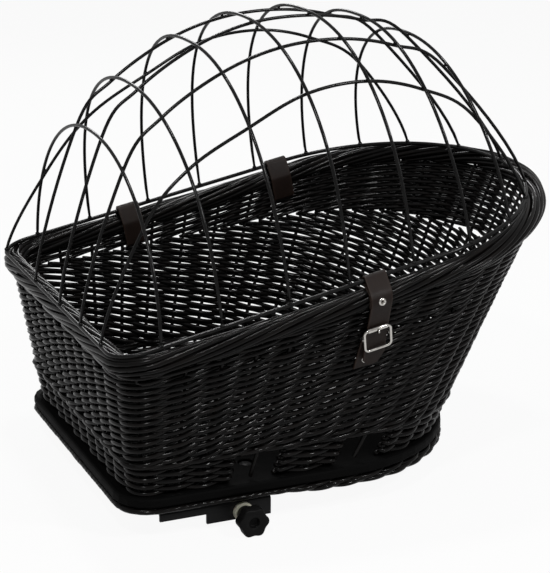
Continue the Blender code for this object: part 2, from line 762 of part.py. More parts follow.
def front_frame():
    """Profile X points out of the front wall, profile Y up; the width follows the rim's slope."""
    origin = place(TONGUE_STATION, 0.0, 0.0)
    axes = Matrix(((0, 0, -1, 0), (-1, 0, 0, 0), (0, 1, 0, 0), (0, 0, 0, 1)))
    shear = Matrix.Identity(4)
    shear[2][0] = RIM_SLOPE_SHARE
    return Matrix.Translation(origin) @ shear @ axes


def wall_line():
    """Outward distance of the wall's outer face at the board's underside, and its lean."""
    low = BOARD_WIDTH / 2 - WALL_INSET
    high = RIM_WIDTH / 2 + WALL_THICKNESS / 2
    lean = (high - low) / (rim_height(TONGUE_STATION) - BOARD_BOTTOM)
    return low, lean


wall_low, wall_lean = wall_line()
buckle_height = rim_height(TONGUE_STATION) - BUCKLE_DROP
lean_angle = math.atan(wall_lean)
strap_up = Vector((math.sin(lean_angle), math.cos(lean_angle)))
strap_out = Vector((math.cos(lean_angle), -math.sin(lean_angle)))
tongue_face = BUCKLE_LIFT - ROLLER_RADIUS - SEAT_GAP
fold_front = tongue_face - TONGUE_THICKNESS - SEAT_GAP
centre_bar_depth = fold_front - LOWER_STRAP_THICKNESS - SEAT_GAP - CENTRE_BAR_RADIUS
fold_radius = CENTRE_BAR_RADIUS + SEAT_GAP + LOWER_STRAP_THICKNESS / 2
lower_face = centre_bar_depth - fold_radius - LOWER_STRAP_THICKNESS / 2
wall_at_buckle = Vector((wall_low + wall_lean * (buckle_height - BOARD_BOTTOM), buckle_height))
buckle_point = wall_at_buckle + strap_out * (SEAT_GAP - lower_face)


def on_strap(up, out):
    """A point in the front profile, from the buckle's middle, up along the strap and out from it."""
    return buckle_point + strap_up * up + strap_out * out


def tongue_path():
    middle = TONGUE_THICKNESS / 2
    level = tongue_face - middle
    ring = (RING_WIDTH / 2, ring_height(TONGUE_STATION))
    roll = (RIM_WIDTH / 2, rim_height(TONGUE_STATION))
    ring_radius = RING_WIRE_RADIUS + TONGUE_SLACK + middle
    inner_radius = RIM_ROLL_RADIUS + SEAT_GAP + middle
    outer_radius = inner_radius + TONGUE_THICKNESS + LAYER_GAP
    path = [tuple(on_strap(-TONGUE_TIP_DROP, level)), tuple(on_strap(0.0, level)),
            tuple(on_strap(BUCKLE_OUTER_HEIGHT / 2, level))]
    right, left = belt_angles(ring, ring_radius, roll, outer_radius)
    path += arc(roll, outer_radius, TONGUE_WRAP_DEG, right)
    path += arc(ring, ring_radius, right, 275, 12)
    path += arc(roll, inner_radius, 76, TONGUE_WRAP_DEG)
    return path, roll, outer_radius


def buckle_frame():
    """Buckle space in the strap's plane: X along the rim's slope, Y up, Z out."""
    origin = place(TONGUE_STATION, 0.0, 0.0) + Vector((0.0, -buckle_point.x, buckle_point.y))
    across = hinge_direction
    up = Vector((0.0, -strap_up.x, strap_up.y))
    out = across.cross(up).normalized()
    upward = out.cross(across)
    axes = Matrix((across, upward, out)).transposed().to_4x4()
    return Matrix.Translation(origin) @ axes


def make_tongue_strap():
    path, roll, outer_radius = tongue_path()
    left, right = strip_sides(path, TONGUE_THICKNESS)
    outline = left + list(reversed(right))
    frame = front_frame()
    strap = add_object("tongue_strap", mesh_from(flat_curve("tongue", [outline], TONGUE_WIDTH), frame),
                       LEATHER, dome_axis)
    depth = 2 * TONGUE_THICKNESS + LAYER_GAP
    across = roll[0] + outer_radius + TONGUE_THICKNESS / 2 + SEAT_GAP
    head = rivet_matrix(frame_without_slope(), across, roll[1], 0.0)
    boolean(strap, rivet_hole(head, depth + SEAT_GAP))
    make_rivet("tongue_strap_rivet", head, depth, BRIGHT_STEEL, dome_axis)
    hole_half = PRONG_HOLE_WIDTH / 2
    reach = TONGUE_THICKNESS + SEAT_GAP
    boolean(strap, box_mesh("prong_hole", (-hole_half, -CENTRE_BAR_RADIUS, tongue_face - reach),
                            (hole_half, PRONG_HOLE_LENGTH - CENTRE_BAR_RADIUS, tongue_face + SEAT_GAP),
                            buckle_frame()))
    for hand in (-1, 1):
        boolean(strap, tip_corner_mesh(hand))


def tip_corner_mesh(hand):
    """A wedge that takes one corner off the strap's tip."""
    tip = on_strap(-TONGUE_TIP_DROP, tongue_face - TONGUE_THICKNESS / 2)
    corner = front_frame() @ Vector((tip.x, tip.y, -hand * TONGUE_WIDTH / 2))
    cut = TONGUE_TIP_TAPER / math.sqrt(2)
    turn = Matrix.Rotation(math.radians(45), 4, "Z")
    matrix = Matrix.Translation(corner) @ buckle_frame().to_3x3().to_4x4() @ turn
    return box_mesh("tip_corner", (-cut, -cut, -TONGUE_THICKNESS), (cut, cut, TONGUE_THICKNESS), matrix)


def frame_without_slope():
    origin = place(TONGUE_STATION, 0.0, 0.0)
    axes = Matrix(((0, 0, -1, 0), (-1, 0, 0, 0), (0, 1, 0, 0), (0, 0, 0, 1)))
    return Matrix.Translation(origin) @ axes


def lower_strap_shape():
    """Folded round the buckle's centre bar, then down the wall behind the tongue."""
    middle = LOWER_STRAP_THICKNESS / 2
    bar = (centre_bar_depth, 0.0)
    low = lower_face + middle
    back = centre_bar_depth + fold_radius
    path = [(back, -LOWER_FOLD_LAP), (back, -fold_radius)]
    path += arc(bar, fold_radius, 0, 180, 8)
    path += [(low, -LOWER_STRAP_LENGTH)]
    left, right = strip_sides(path, LOWER_STRAP_THICKNESS)
    outline = left + list(reversed(right))
    skew = Matrix.Identity(4)
    skew[0][1] = LOWER_SKEW_SHARE
    space = buckle_frame() @ skew
    frame = space @ Matrix(((0, 0, 1, 0), (0, 1, 0, 0), (1, 0, 0, 0), (0, 0, 0, 1)))
    return outline, frame, space, low


def make_buckle():
    space = buckle_frame()
    half_width = BUCKLE_OUTER_WIDTH / 2 - BUCKLE_WIRE_RADIUS
    half_height = BUCKLE_OUTER_HEIGHT / 2 - BUCKLE_WIRE_RADIUS
    loop = []
    for centre_x, centre_y, start in ((1, 1, 0), (-1, 1, 90), (-1, -1, 180), (1, -1, 270)):
        centre = (centre_x * (half_width - BUCKLE_CORNER), centre_y * (half_height - BUCKLE_CORNER))
        loop += arc(centre, BUCKLE_CORNER, start, start + 90, 5)
    points = [space @ Vector((x, y, BUCKLE_LIFT)) for x, y in loop]
    frame_wire = wire_curve("buckle_frame", points, BUCKLE_WIRE_RADIUS, closed=True)
    add_object("buckle_frame", frame_wire, BRIGHT_STEEL)
    touch = BUCKLE_LIFT - BUCKLE_WIRE_RADIUS - SEAT_GAP
    bar = [(half_width, touch), (half_width, centre_bar_depth + CENTRE_BAR_RADIUS),
           (half_width - CENTRE_BAR_RADIUS, centre_bar_depth)]
    run = [(-x, z) for x, z in bar] + [(x, z) for x, z in reversed(bar)]
    points = [space @ Vector((x, 0.0, z)) for x, z in run]
    bar_wire = wire_curve("buckle_centre_bar", points, CENTRE_BAR_RADIUS)
    add_object("buckle_centre_bar", bar_wire, BRIGHT_STEEL)
    top = Vector((0.0, half_height, BUCKLE_LIFT))
    roller_axis = add_axis("roller_axis", space @ top, space.to_3x3() @ Vector((1.0, 0.0, 0.0)))
    bore = BUCKLE_WIRE_RADIUS + ROLLER_CLEARANCE
    half = ROLLER_LENGTH / 2
    profile = [(ROLLER_RADIUS, half), (ROLLER_RADIUS, -half), (bore, -half), (bore, half)]
    turned("buckle_roller", profile, space @ Matrix.Translation(top) @ Matrix.Rotation(math.pi / 2, 4, "Y"),
           BRIGHT_STEEL, roller_axis)
    prong_axis = add_axis("prong_axis", space @ Vector((0.0, 0.0, centre_bar_depth)),
                          space.to_3x3() @ Vector((1.0, 0.0, 0.0)))
    wrap = CENTRE_BAR_RADIUS + PRONG_RADIUS + SEAT_GAP
    rest_out = BUCKLE_LIFT + ROLLER_RADIUS + PRONG_RADIUS + SEAT_GAP
    hook = arc((0.0, centre_bar_depth), wrap, -150, 90, 10)
    shank = [(wrap + PRONG_RADIUS, centre_bar_depth + wrap + PRONG_RADIUS),
             (half_height - ROLLER_RADIUS, rest_out), (half_height + PRONG_RADIUS, rest_out)]
    points = [space @ Vector((0.0, up, out)) for up, out in hook + shank]
    prong_wire = wire_curve("buckle_prong", points, PRONG_RADIUS)
    add_object("buckle_prong", prong_wire, BRIGHT_STEEL, prong_axis)
    outline, frame, lower_space, low = lower_strap_shape()
    band = flat_curve("lower", [outline], LOWER_STRAP_WIDTH)
    strap = add_object("lower_strap", mesh_from(band, frame), LEATHER)
    slot = wrap + PRONG_RADIUS + 2 * SEAT_GAP
    boolean(strap, box_mesh("fold_slot", (-PRONG_HOLE_WIDTH / 2, -slot, centre_bar_depth - slot),
                            (PRONG_HOLE_WIDTH / 2, slot, centre_bar_depth + slot), space))
    face = low + LOWER_STRAP_THICKNESS / 2
    foot = lower_space @ Vector((0.0, 2 * RIVET_HEAD_RADIUS - LOWER_STRAP_LENGTH, face + SEAT_GAP))
    head = Matrix.Translation(foot) @ space.to_3x3().to_4x4()
    depth = LOWER_STRAP_THICKNESS + SEAT_GAP / 2
    boolean(strap, rivet_hole(head, depth + SEAT_GAP))
    make_rivet("lower_strap_rivet", head, depth, BRIGHT_STEEL)


# Carrier clamp under the board

def side_matrix(station):
    """Profile X along +Y of the basket, profile Y up, width along X."""
    axes = Matrix(((0, 0, 1, 0), (1, 0, 0, 0), (0, 1, 0, 0), (0, 0, 0, 1)))
    return Matrix.Translation(place(station, 0.0, 0.0)) @ axes


def stud_hole(side):
    matrix = Matrix.Translation(place(STUD_STATION, side, STUD_HEIGHT)) @ Matrix.Rotation(math.pi / 2, 4, "X")
    return rod_mesh("stud_hole", STUD_RADIUS + STUD_CLEARANCE, JAW_THICKNESS + 2 * CUT_OVERRUN, matrix)


def make_clamp_plate():
    middle = PLATE_TOP - CLAMP_THICKNESS / 2
    flange = CLAMP_THICKNESS / 2 - CLAMP_REACH
    corner = CLAMP_THICKNESS
    path = [(CLAMP_REACH, middle)]
    path += arc((flange + corner, middle - corner), corner, 90, 180, 4)
    path += [(flange, PLATE_BOTTOM - FLANGE_DEPTH + CLAMP_THICKNESS)]
    left, right = strip_sides(path, CLAMP_THICKNESS)
    outline = left + list(reversed(right))
    curve = flat_curve("clamp_plate", [outline], CLAMP_LENGTH)
    plate = add_object("clamp_plate", mesh_from(curve, side_matrix(CLAMP_STATION)), DARK_STEEL)
    front = CLAMP_STATION - CLAMP_LENGTH / 2
    low = place(front - CUT_OVERRUN, -CLAMP_REACH - CUT_OVERRUN, PLATE_BOTTOM - 2 * FLANGE_DEPTH)
    high = place(FLANGE_STEP_STATION, flange + CLAMP_THICKNESS, PLATE_BOTTOM - FLANGE_STEP_DEPTH)
    boolean(plate, box_mesh("flange_step", low, high))
    boolean(plate, stud_hole(flange))
    for station in BOLT_STATIONS:
        for side in (-BOLT_REACH, BOLT_REACH):
            matrix = Matrix.Translation(place(station, side, middle))
            boolean(plate, rod_mesh("plate_hole", BOLT_RADIUS + BOLT_CLEARANCE,
                                    CLAMP_THICKNESS + 2 * CUT_OVERRUN, matrix))


def make_jaw(name, side, gap, parent=None):
    """A hooked jaw whose lip points to the middle, under the carrier's rail."""
    inward = -1 if side > 0 else 1
    top = PLATE_BOTTOM - gap
    bottom = PLATE_BOTTOM - JAW_DEPTH + JAW_THICKNESS / 2
    corner = JAW_THICKNESS
    start, end = (180, 270) if inward > 0 else (0, -90)
    turn = arc((side + inward * corner, bottom + corner), corner, start, end, 4)
    path = [(side, top)] + turn + [(side + inward * JAW_LIP, bottom)]
    left, right = strip_sides(path, JAW_THICKNESS)
    outline = left + list(reversed(right))
    curve = flat_curve(name, [outline], JAW_LENGTH)
    jaw = add_object(name, mesh_from(curve, side_matrix(CLAMP_STATION)), DARK_STEEL, parent)
    boolean(jaw, stud_hole(side))


def make_clamp_drive():
    turn = Matrix.Rotation(math.pi / 2, 4, "X")
    jaw_nut_side = -JAW_PLACE - JAW_THICKNESS / 2 - SEAT_GAP - JAW_NUT_THICKNESS / 2
    nut_centre = place(STUD_STATION, jaw_nut_side, STUD_HEIGHT)
    half = JAW_NUT_WIDTH / 2
    low = nut_centre - Vector((half, JAW_NUT_THICKNESS / 2, half))
    high = nut_centre + Vector((half, JAW_NUT_THICKNESS / 2, half))
    nut = add_object("jaw_nut", box_mesh("jaw_nut", low, high), ZINC, jaw_axis)
    boolean(nut, stud_hole(jaw_nut_side))
    washer_start = CLAMP_REACH + SEAT_GAP
    neck_start = washer_start + WASHER_THICKNESS + SEAT_GAP
    knob_start = neck_start + KNOB_NECK_LENGTH
    knob_end = knob_start + KNOB_THICKNESS
    stud_tip = knob_end - KNOB_RECESS_DEPTH - KNOB_BORE_WALL
    half = WASHER_THICKNESS / 2
    bore = STUD_RADIUS + SEAT_GAP
    profile = [(WASHER_RADIUS, half), (WASHER_RADIUS, -half), (bore, -half), (bore, half)]
    centre = place(STUD_STATION, -washer_start - half, STUD_HEIGHT)
    turned("stud_washer", profile, Matrix.Translation(centre) @ turn, ZINC, knob_axis)
    length = stud_tip + STUD_END
    centre = place(STUD_STATION, (STUD_END - stud_tip) / 2, STUD_HEIGHT)
    profile = [(0.0, length / 2), (STUD_RADIUS - SEAT_GAP, length / 2),
               (STUD_RADIUS, length / 2 - SEAT_GAP), (STUD_RADIUS, -length / 2 + SEAT_GAP),
               (STUD_RADIUS - SEAT_GAP, -length / 2), (0.0, -length / 2)]
    turned("clamp_stud", profile, Matrix.Translation(centre) @ turn, ZINC, knob_axis)
    make_knob(knob_start, knob_end, neck_start, stud_tip, turn)


def make_knob(knob_start, knob_end, neck_start, stud_tip, turn):
    count = KNOB_LOBES * 10
    loop = []
    for k in range(count):
        angle = 2 * math.pi * k / count
        radius = KNOB_RADIUS - KNOB_LOBE_DEPTH * (1 - math.cos(KNOB_LOBES * angle)) / 2
        loop.append((radius * math.cos(angle), radius * math.sin(angle)))
    curve = flat_curve("star_knob", [loop], KNOB_THICKNESS)
    centre = place(STUD_STATION, -(knob_start + knob_end) / 2, STUD_HEIGHT)
    star = mesh_from(curve, Matrix.Translation(centre) @ turn)
    knob = add_object("star_knob", star, KNOB_PLASTIC, knob_axis)
    round_edges(knob, KNOB_EDGE_ROUND)
    neck_end = knob_start + KNOB_EDGE_ROUND
    centre = place(STUD_STATION, -(neck_start + neck_end) / 2, STUD_HEIGHT)
    boolean(knob, rod_mesh("knob_neck", KNOB_NECK_RADIUS, neck_end - neck_start,
                           Matrix.Translation(centre) @ turn), "UNION")
    bore_end = stud_tip + SEAT_GAP
    bore_start = neck_start - CUT_OVERRUN
    centre = place(STUD_STATION, -(bore_start + bore_end) / 2, STUD_HEIGHT)
    boolean(knob, rod_mesh("knob_bore", STUD_RADIUS + SEAT_GAP, bore_end - bore_start,
                           Matrix.Translation(centre) @ turn))
    recess_start = knob_end - KNOB_RECESS_DEPTH
    recess_end = knob_end + CUT_OVERRUN
    centre = place(STUD_STATION, -(recess_start + recess_end) / 2, STUD_HEIGHT)
    boolean(knob, rod_mesh("knob_recess", KNOB_RECESS_RADIUS, recess_end - recess_start,
                           Matrix.Translation(centre) @ turn))


def make_fixings():
    number = 0
    for station in BOLT_STATIONS:
        for side in (-BOLT_REACH, BOLT_REACH):
            number += 1
            head_base = BOARD_TOP - BOLT_RECESS + SEAT_GAP
            nut_top = PLATE_BOTTOM - SEAT_GAP
            nut_bottom = nut_top - BOLT_NUT_HEIGHT
            tail = nut_bottom - BOLT_TAIL
            head = BOLT_HEAD_RADIUS
            profile = [(0.0, BOLT_HEAD_HEIGHT), (head * 0.5, BOLT_HEAD_HEIGHT * 0.86),
                       (head * 0.85, BOLT_HEAD_HEIGHT * 0.5), (head, 0.0), (BOLT_RADIUS, 0.0),
                       (BOLT_RADIUS, tail - head_base), (0.0, tail - head_base)]
            seat = Matrix.Translation(place(station, side, head_base))
            turned("carriage_bolt_%d" % number, profile, seat, DARK_STEEL)
            half = (BOARD_BOTTOM - SEAT_GAP - PLATE_TOP - SEAT_GAP) / 2
            bore = BOLT_RADIUS + BOLT_CLEARANCE
            profile = [(SPACER_RADIUS, half), (SPACER_RADIUS, -half), (bore, -half), (bore, half)]
            centre = place(station, side, (BOARD_BOTTOM + PLATE_TOP) / 2)
            turned("plate_spacer_%d" % number, profile, Matrix.Translation(centre), DARK_STEEL)
            centre = Matrix.Translation(place(station, side, (nut_top + nut_bottom) / 2))
            nut_radius = BOLT_NUT_WIDTH / math.sqrt(3)
            block = rod_mesh("bolt_nut", nut_radius, BOLT_NUT_HEIGHT, centre, 6)
            nut = add_object("bolt_nut_%d" % number, block, DARK_STEEL)
            bore_length = BOLT_NUT_HEIGHT + 2 * CUT_OVERRUN
            boolean(nut, rod_mesh("nut_bore", BOLT_RADIUS + SEAT_GAP, bore_length, centre))


make_board()
make_foot_border()
make_wall()
make_rim()
make_ring()
for hoop_index in range(len(HOOP_STATION_SHARES)):
    make_hoop(hoop_index)
for wire_index in range(len(LONG_WIRE_SPREAD_SHARES)):
    make_long_wire(wire_index)
for strap_number, strap_station in enumerate(HINGE_STRAP_STATIONS, 1):
    make_hinge_strap(strap_number, strap_station)
make_tongue_strap()
make_buckle()
make_clamp_plate()
make_jaw("fixed_jaw", JAW_PLACE, SEAT_GAP)
make_jaw("moving_jaw", -JAW_PLACE, JAW_RUNNING_GAP, jaw_axis)
make_clamp_drive()
make_fixings()
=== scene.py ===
import math

import bmesh
import bpy
import numpy as np
from mathutils import Matrix, Vector


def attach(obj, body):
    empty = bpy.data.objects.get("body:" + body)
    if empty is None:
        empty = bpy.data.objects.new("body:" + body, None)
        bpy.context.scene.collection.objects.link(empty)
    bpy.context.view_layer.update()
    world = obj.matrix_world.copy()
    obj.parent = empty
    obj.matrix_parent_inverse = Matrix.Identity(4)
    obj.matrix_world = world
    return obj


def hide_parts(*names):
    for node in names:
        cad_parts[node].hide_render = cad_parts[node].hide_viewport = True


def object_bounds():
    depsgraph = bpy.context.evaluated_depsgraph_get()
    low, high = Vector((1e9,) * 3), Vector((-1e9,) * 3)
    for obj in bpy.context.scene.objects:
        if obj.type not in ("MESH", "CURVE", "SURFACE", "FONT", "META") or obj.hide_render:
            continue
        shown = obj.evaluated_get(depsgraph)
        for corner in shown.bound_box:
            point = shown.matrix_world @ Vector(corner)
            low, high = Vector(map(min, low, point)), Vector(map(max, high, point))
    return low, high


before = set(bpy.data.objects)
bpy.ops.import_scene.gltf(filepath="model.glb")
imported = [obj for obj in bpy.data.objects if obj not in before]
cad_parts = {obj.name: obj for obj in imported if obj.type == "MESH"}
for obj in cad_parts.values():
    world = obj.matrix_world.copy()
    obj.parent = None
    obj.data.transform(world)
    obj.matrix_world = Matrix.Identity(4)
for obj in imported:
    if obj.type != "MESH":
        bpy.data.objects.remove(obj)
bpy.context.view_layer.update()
scene = bpy.context.scene

# The camera stands a little above the basket and to its left, as in the photo. Its place
# and turn come from the wires and the rim, which were fitted to the photo's own.

CAMERA_PLACE = (-0.5860, -1.6462, 0.7312)
CAMERA_TURN_DEG = -23.3145
CAMERA_DROP_DEG = 17.8663
CAMERA_ROLL_DEG = 0.3526
CAMERA_LENS = 124.06


def show(name, data):
    made = bpy.data.objects.new(name, data)
    scene.collection.objects.link(made)
    return made


def turned(degrees, axis):
    return Matrix.Rotation(math.radians(degrees), 4, axis)


camera_data = bpy.data.cameras.new("camera")
camera_data.sensor_fit = "HORIZONTAL"
camera_data.lens = CAMERA_LENS
camera = show("camera", camera_data)
camera.matrix_world = (Matrix.Translation(CAMERA_PLACE) @ turned(CAMERA_TURN_DEG, "Z")
                       @ turned(90.0 - CAMERA_DROP_DEG, "X") @ turned(CAMERA_ROLL_DEG, "Z"))
scene.camera = camera


# The finishes are built of nodes, which the classes below let one write as plain sums.

class Wire:
    """A shader socket that can be reckoned with, each operator adding its own node."""

    def __init__(self, nodes, socket):
        self.nodes = nodes
        self.socket = socket

    def maths(self, operation, first, second):
        return self.nodes.node("ShaderNodeMath", {0: first, 1: second}, operation=operation)

    def __add__(self, other):
        return self.maths("ADD", self, other)

    def __sub__(self, other):
        return self.maths("SUBTRACT", self, other)

    def __mul__(self, other):
        return self.maths("MULTIPLY", self, other)

    def __pow__(self, other):
        return self.maths("POWER", self, other)

    __radd__ = __add__
    __rmul__ = __mul__


class Nodes:
    """The node tree of a material or of the surround."""

    def __init__(self, owner):
        owner.use_nodes = True
        self.tree = owner.node_tree

    def node(self, kind, inputs=None, output=0, **settings):
        """Add a node: its settings first, then the values or links of its sockets."""
        made = self.tree.nodes.new(kind)
        for key, value in settings.items():
            setattr(made, key, value)
        for key, value in (inputs or {}).items():
            self.join(made.inputs[key], value)
        return Wire(self, made.outputs[output])

    def join(self, socket, value):
        if isinstance(value, Wire):
            self.tree.links.new(value.socket, socket)
        elif socket.type == "RGBA":
            socket.default_value = (*value, 1.0)
        else:
            socket.default_value = value

    def to_eye(self):
        """One for what the camera sees, and less for what is mirrored or shines through."""
        eye, mirrored, passed = [self.node("ShaderNodeLightPath", output="Is %s Ray" % kind)
                                 for kind in ("Camera", "Glossy", "Transmission")]
        return eye + (mirrored + passed) * MIRRORED_SHARE


class Finish(Nodes):
    """A procedural finish on one Principled shader."""

    def __init__(self, name, **fixed):
        self.material = bpy.data.materials.new(name)
        super().__init__(self.material)
        self.shader = self.tree.nodes["Principled BSDF"]
        self.feed(**fixed)

    def feed(self, **sockets):
        for key, value in sockets.items():
            self.join(self.shader.inputs[key.replace("_", " ")], value)

    def object_place(self):
        return self.node("ShaderNodeTexCoord", output="Object")

    def noise(self, scale, detail, roughness=0.55, where=None):
        """Noise of one scale, or of a scale for each direction."""
        where = where or self.object_place()
        if isinstance(scale, tuple):
            where = self.node("ShaderNodeMapping", {"Vector": where, "Scale": scale})
            scale = 1.0
        return self.node("ShaderNodeTexNoise",
                         {"Vector": where, "Scale": scale, "Detail": detail, "Roughness": roughness})

    def mix(self, share, first, second):
        return self.node("ShaderNodeMix", {0: share, 6: first, 7: second}, 2, data_type="RGBA")

    def ramp(self, share, *stops):
        made = self.node("ShaderNodeValToRGB", {0: share})
        elements = made.socket.node.color_ramp.elements
        while len(elements) < len(stops):
            elements.new(0.5)
        for element, (at, colour) in zip(elements, stops):
            element.position = at
            element.color = (*colour, 1.0)
        return made

    def relief(self, height, depth, strength, **under):
        """A bump of a depth in metres, on the plain face or over another bump's Normal."""
        under.update(Height=height, Distance=depth, Strength=strength)
        return self.node("ShaderNodeBump", under)


def mesh_of(body):
    mesh = bpy.data.meshes.new("body")
    body.to_mesh(mesh)
    body.free()
    mesh.shade_smooth()
    return mesh


# The floor is a plain pale sheet under a white surround, and four soft lamps light the
# basket from above. The surround is white to the eye, but gives the basket little light.

BLACK = (0.0, 0.0, 0.0)
WHITE = (1.0, 1.0, 1.0)
FLOOR_SHADE = (0.72, 0.72, 0.72)
FLOOR_DROP = 0.0006
FLOOR_REACH = 8.0
BACKDROP_SHARE = 0.93
MIRRORED_SHARE = 0.25
SURROUND_LIGHT = 0.26
LAMPS = (
    ("key", (-0.9, -1.3, 2.1), 0.20, 22.0),
    ("fill", (1.0, -1.45, 1.55), 0.20, 18.0),
    ("top", (0.1, 0.35, 2.2), 0.26, 14.0),
    ("back", (0.5, 1.9, 1.1), 0.45, 6.0),
)
LAMPS_AIM = Vector((0.1, 0.0, 0.12))

floor_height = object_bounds()[0].z - FLOOR_DROP
floor_body = bmesh.new()
bmesh.ops.create_grid(floor_body, x_segments=1, y_segments=1, size=FLOOR_REACH,
                      matrix=Matrix.Translation((0.0, 0.0, floor_height)))
floor = show("floor", mesh_of(floor_body))
pale = Finish("pale_floor", Base_Color=FLOOR_SHADE, Roughness=0.9)
glow = pale.node("ShaderNodeEmission", {"Color": WHITE, "Strength": 1.0})
lit_floor = Wire(pale, pale.shader.outputs[0])
shown = pale.node("ShaderNodeMixShader", {0: pale.to_eye() * BACKDROP_SHARE, 1: lit_floor, 2: glow})
pale.tree.links.new(shown.socket, pale.tree.nodes["Material Output"].inputs["Surface"])
floor.data.materials.append(pale.material)

world = bpy.data.worlds.new("surround")
scene.world = world
surround = Nodes(world)
background = surround.tree.nodes["Background"]
surround.join(background.inputs["Color"], WHITE)
surround.join(background.inputs["Strength"], SURROUND_LIGHT + surround.to_eye() * (1 - SURROUND_LIGHT))

for name, lamp_place, size, power in LAMPS:
    lamp_data = bpy.data.lights.new(name, "AREA")
    lamp_data.size = size
    lamp_data.energy = power
    aim = LAMPS_AIM - Vector(lamp_place)
    turned_to = aim.to_track_quat("-Z", "Y").to_matrix().to_4x4()
    show(name, lamp_data).matrix_world = Matrix.Translation(lamp_place) @ turned_to
scene.view_settings.view_transform = "Standard"


# The base board is black painted wood, cut flat at the front and round at the rear. The
# tub is woven on it, and the carriage bolts sit in its recesses.

CUT_WELD = 0.00001
METAL_EDGE_DEG = 40.0


def round_edges(piece, width, segments, sharp_deg):
    bevel = piece.modifiers.new("edges", "BEVEL")
    bevel.width = width
    bevel.segments = segments
    bevel.limit_method = "ANGLE"
    bevel.angle_limit = math.radians(sharp_deg)
    bevel.harden_normals = True


def dress(names, finish, edge=0.0):
    """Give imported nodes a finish, and round their sharp edges if they are cut ones."""
    for node_name in names:
        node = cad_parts[node_name]
        node.material_slots[0].material = finish.material
        if edge > 0:
            node.modifiers.new("weld", "WELD").merge_threshold = CUT_WELD
            round_edges(node, edge, 2, METAL_EDGE_DEG)


board_paint = Finish("black_board_paint", Specular_IOR_Level=0.03)
grain = board_paint.noise((14.0, 220.0, 220.0), 5.0, 0.6)
brushed = board_paint.noise(38.0, 3.0)
board_paint.feed(Base_Color=board_paint.mix(grain * 0.7, (0.0014, 0.0014, 0.0015), (0.0042, 0.0041, 0.0040)),
                 Roughness=0.45 + 0.25 * brushed, Normal=board_paint.relief(grain, 0.00018, 0.5))
dress(["base_board"], board_paint)


# The tub's stakes are willow, stained black and varnished. They stand in the board and
# lean out towards the rim, closer together at the corners.

CLAMP_STATION = 0.105
PLATE_BOTTOM = -0.0033
BOARD_BOTTOM = 0.008
BOARD_FRONT = 0.0145
BOARD_LENGTH = 0.3835
BOARD_WIDTH = 0.320
BOARD_CORNER = 0.035
BOARD_ROUND_DEPTH = 0.160
WALL_INSET = 0.014
RIM_FRONT = 0.007
RIM_LENGTH = 0.480
RIM_WIDTH = 0.382
RIM_CORNER = 0.032
RIM_ROUND_DEPTH = 0.171
RIM_FRONT_HEIGHT = 0.1525
RIM_DIP = 0.005
RIM_SLOPE = 0.195
RIM_ROLL_RADIUS = 0.010
CORNER_SPAN = 5.0
CORNER_START = 3.0
SIDE_SPAN = 7.0
SIDE_START = 8.0
ROUND_SPAN = 12.0
ROUND_START = 15.0
HALF_SPAN = 27.0
NEAR_STEP = 0.02
RUN_LEVEL = 0.35
STATION_LEVEL = 0.15
STAKE_RADIUS = 0.0019
STAKE_FULLNESS = 1.10
STAKE_TAPER = 0.2
STAKE_ENDS = (0.075, 0.985)
SIDE_STAKE_STATIONS = (0.066, 0.092, 0.1175, 0.1425, 0.1705, 0.199, 0.2275, 0.2525, 0.2835)
FRONT_STAKES = 5
ROUND_STAKES = 7
ROD_WAVER = 0.0002
STRAND_SHIFT = 3.71
TUBE_WELD = 0.000002

luck = np.random.default_rng(7)


def place(station, side, height):
    """A point from its station along the basket, its side distance and its height."""
    return Vector((station - CLAMP_STATION, side, height - PLATE_BOTTOM))


def outline(front, length, width, corner, depth, s):
    """Plan outline at places s, from 0 at the front's middle to 27 at the rear's, and back to 54."""
    s = np.mod(s, 2 * HALF_SPAN)
    t = np.where(s > HALF_SPAN, 2 * HALF_SPAN - s, s)
    half = width / 2
    bend = np.pi / 2 * np.clip(t - CORNER_START, 0, CORNER_SPAN) / CORNER_SPAN
    along_side = np.clip(t - SIDE_START, 0, SIDE_SPAN)
    sweep = np.pi / 2 * np.clip(t - ROUND_START, 0, ROUND_SPAN) / ROUND_SPAN
    side_run = length - corner - depth
    x = front + corner * (1 - np.cos(bend)) + side_run * along_side / SIDE_SPAN + depth * np.sin(sweep)
    y = np.where(t < CORNER_START, (half - corner) * t / CORNER_START, half - corner * (1 - np.sin(bend)))
    y = y * np.cos(sweep)
    return x, np.where(s > HALF_SPAN, -y, y)


def board_edge(s, inset):
    return outline(BOARD_FRONT + inset, BOARD_LENGTH - 2 * inset, BOARD_WIDTH - 2 * inset,
                   BOARD_CORNER - inset, BOARD_ROUND_DEPTH - inset, s)


def rim_height(x):
    share = np.clip((x - RIM_FRONT) / RIM_LENGTH, 0, 1)
    return RIM_FRONT_HEIGHT + RIM_SLOPE * x - RIM_DIP * np.sin(np.pi * share)


def wall_ends(s):
    """The wall's bottom and top points at places round the tub."""
    bx, by = board_edge(s, WALL_INSET)
    rx, ry = outline(RIM_FRONT, RIM_LENGTH, RIM_WIDTH, RIM_CORNER, RIM_ROUND_DEPTH, s)
    bottom = np.stack([bx - CLAMP_STATION, by, np.full_like(bx, BOARD_BOTTOM - PLATE_BOTTOM)], -1)
    top = np.stack([rx - CLAMP_STATION, ry, rim_height(rx) - PLATE_BOTTOM], -1)
    return bottom, top


def unit(ways):
    return ways / np.linalg.norm(ways, axis=-1, keepdims=True)


def wall_points(s, v, out):
    """Points on the wall at places s and height shares v, standing out from its middle."""
    bottom, top = wall_ends(s)
    v = np.asarray(v)[..., None]
    ahead_bottom, ahead_top = wall_ends(s + NEAR_STEP)
    back_bottom, back_top = wall_ends(s - NEAR_STEP)
    along = (ahead_bottom + (ahead_top - ahead_bottom) * v) - (back_bottom + (back_top - back_bottom) * v)
    return bottom + (top - bottom) * v + unit(np.cross(top - bottom, along)) * np.asarray(out)[..., None]


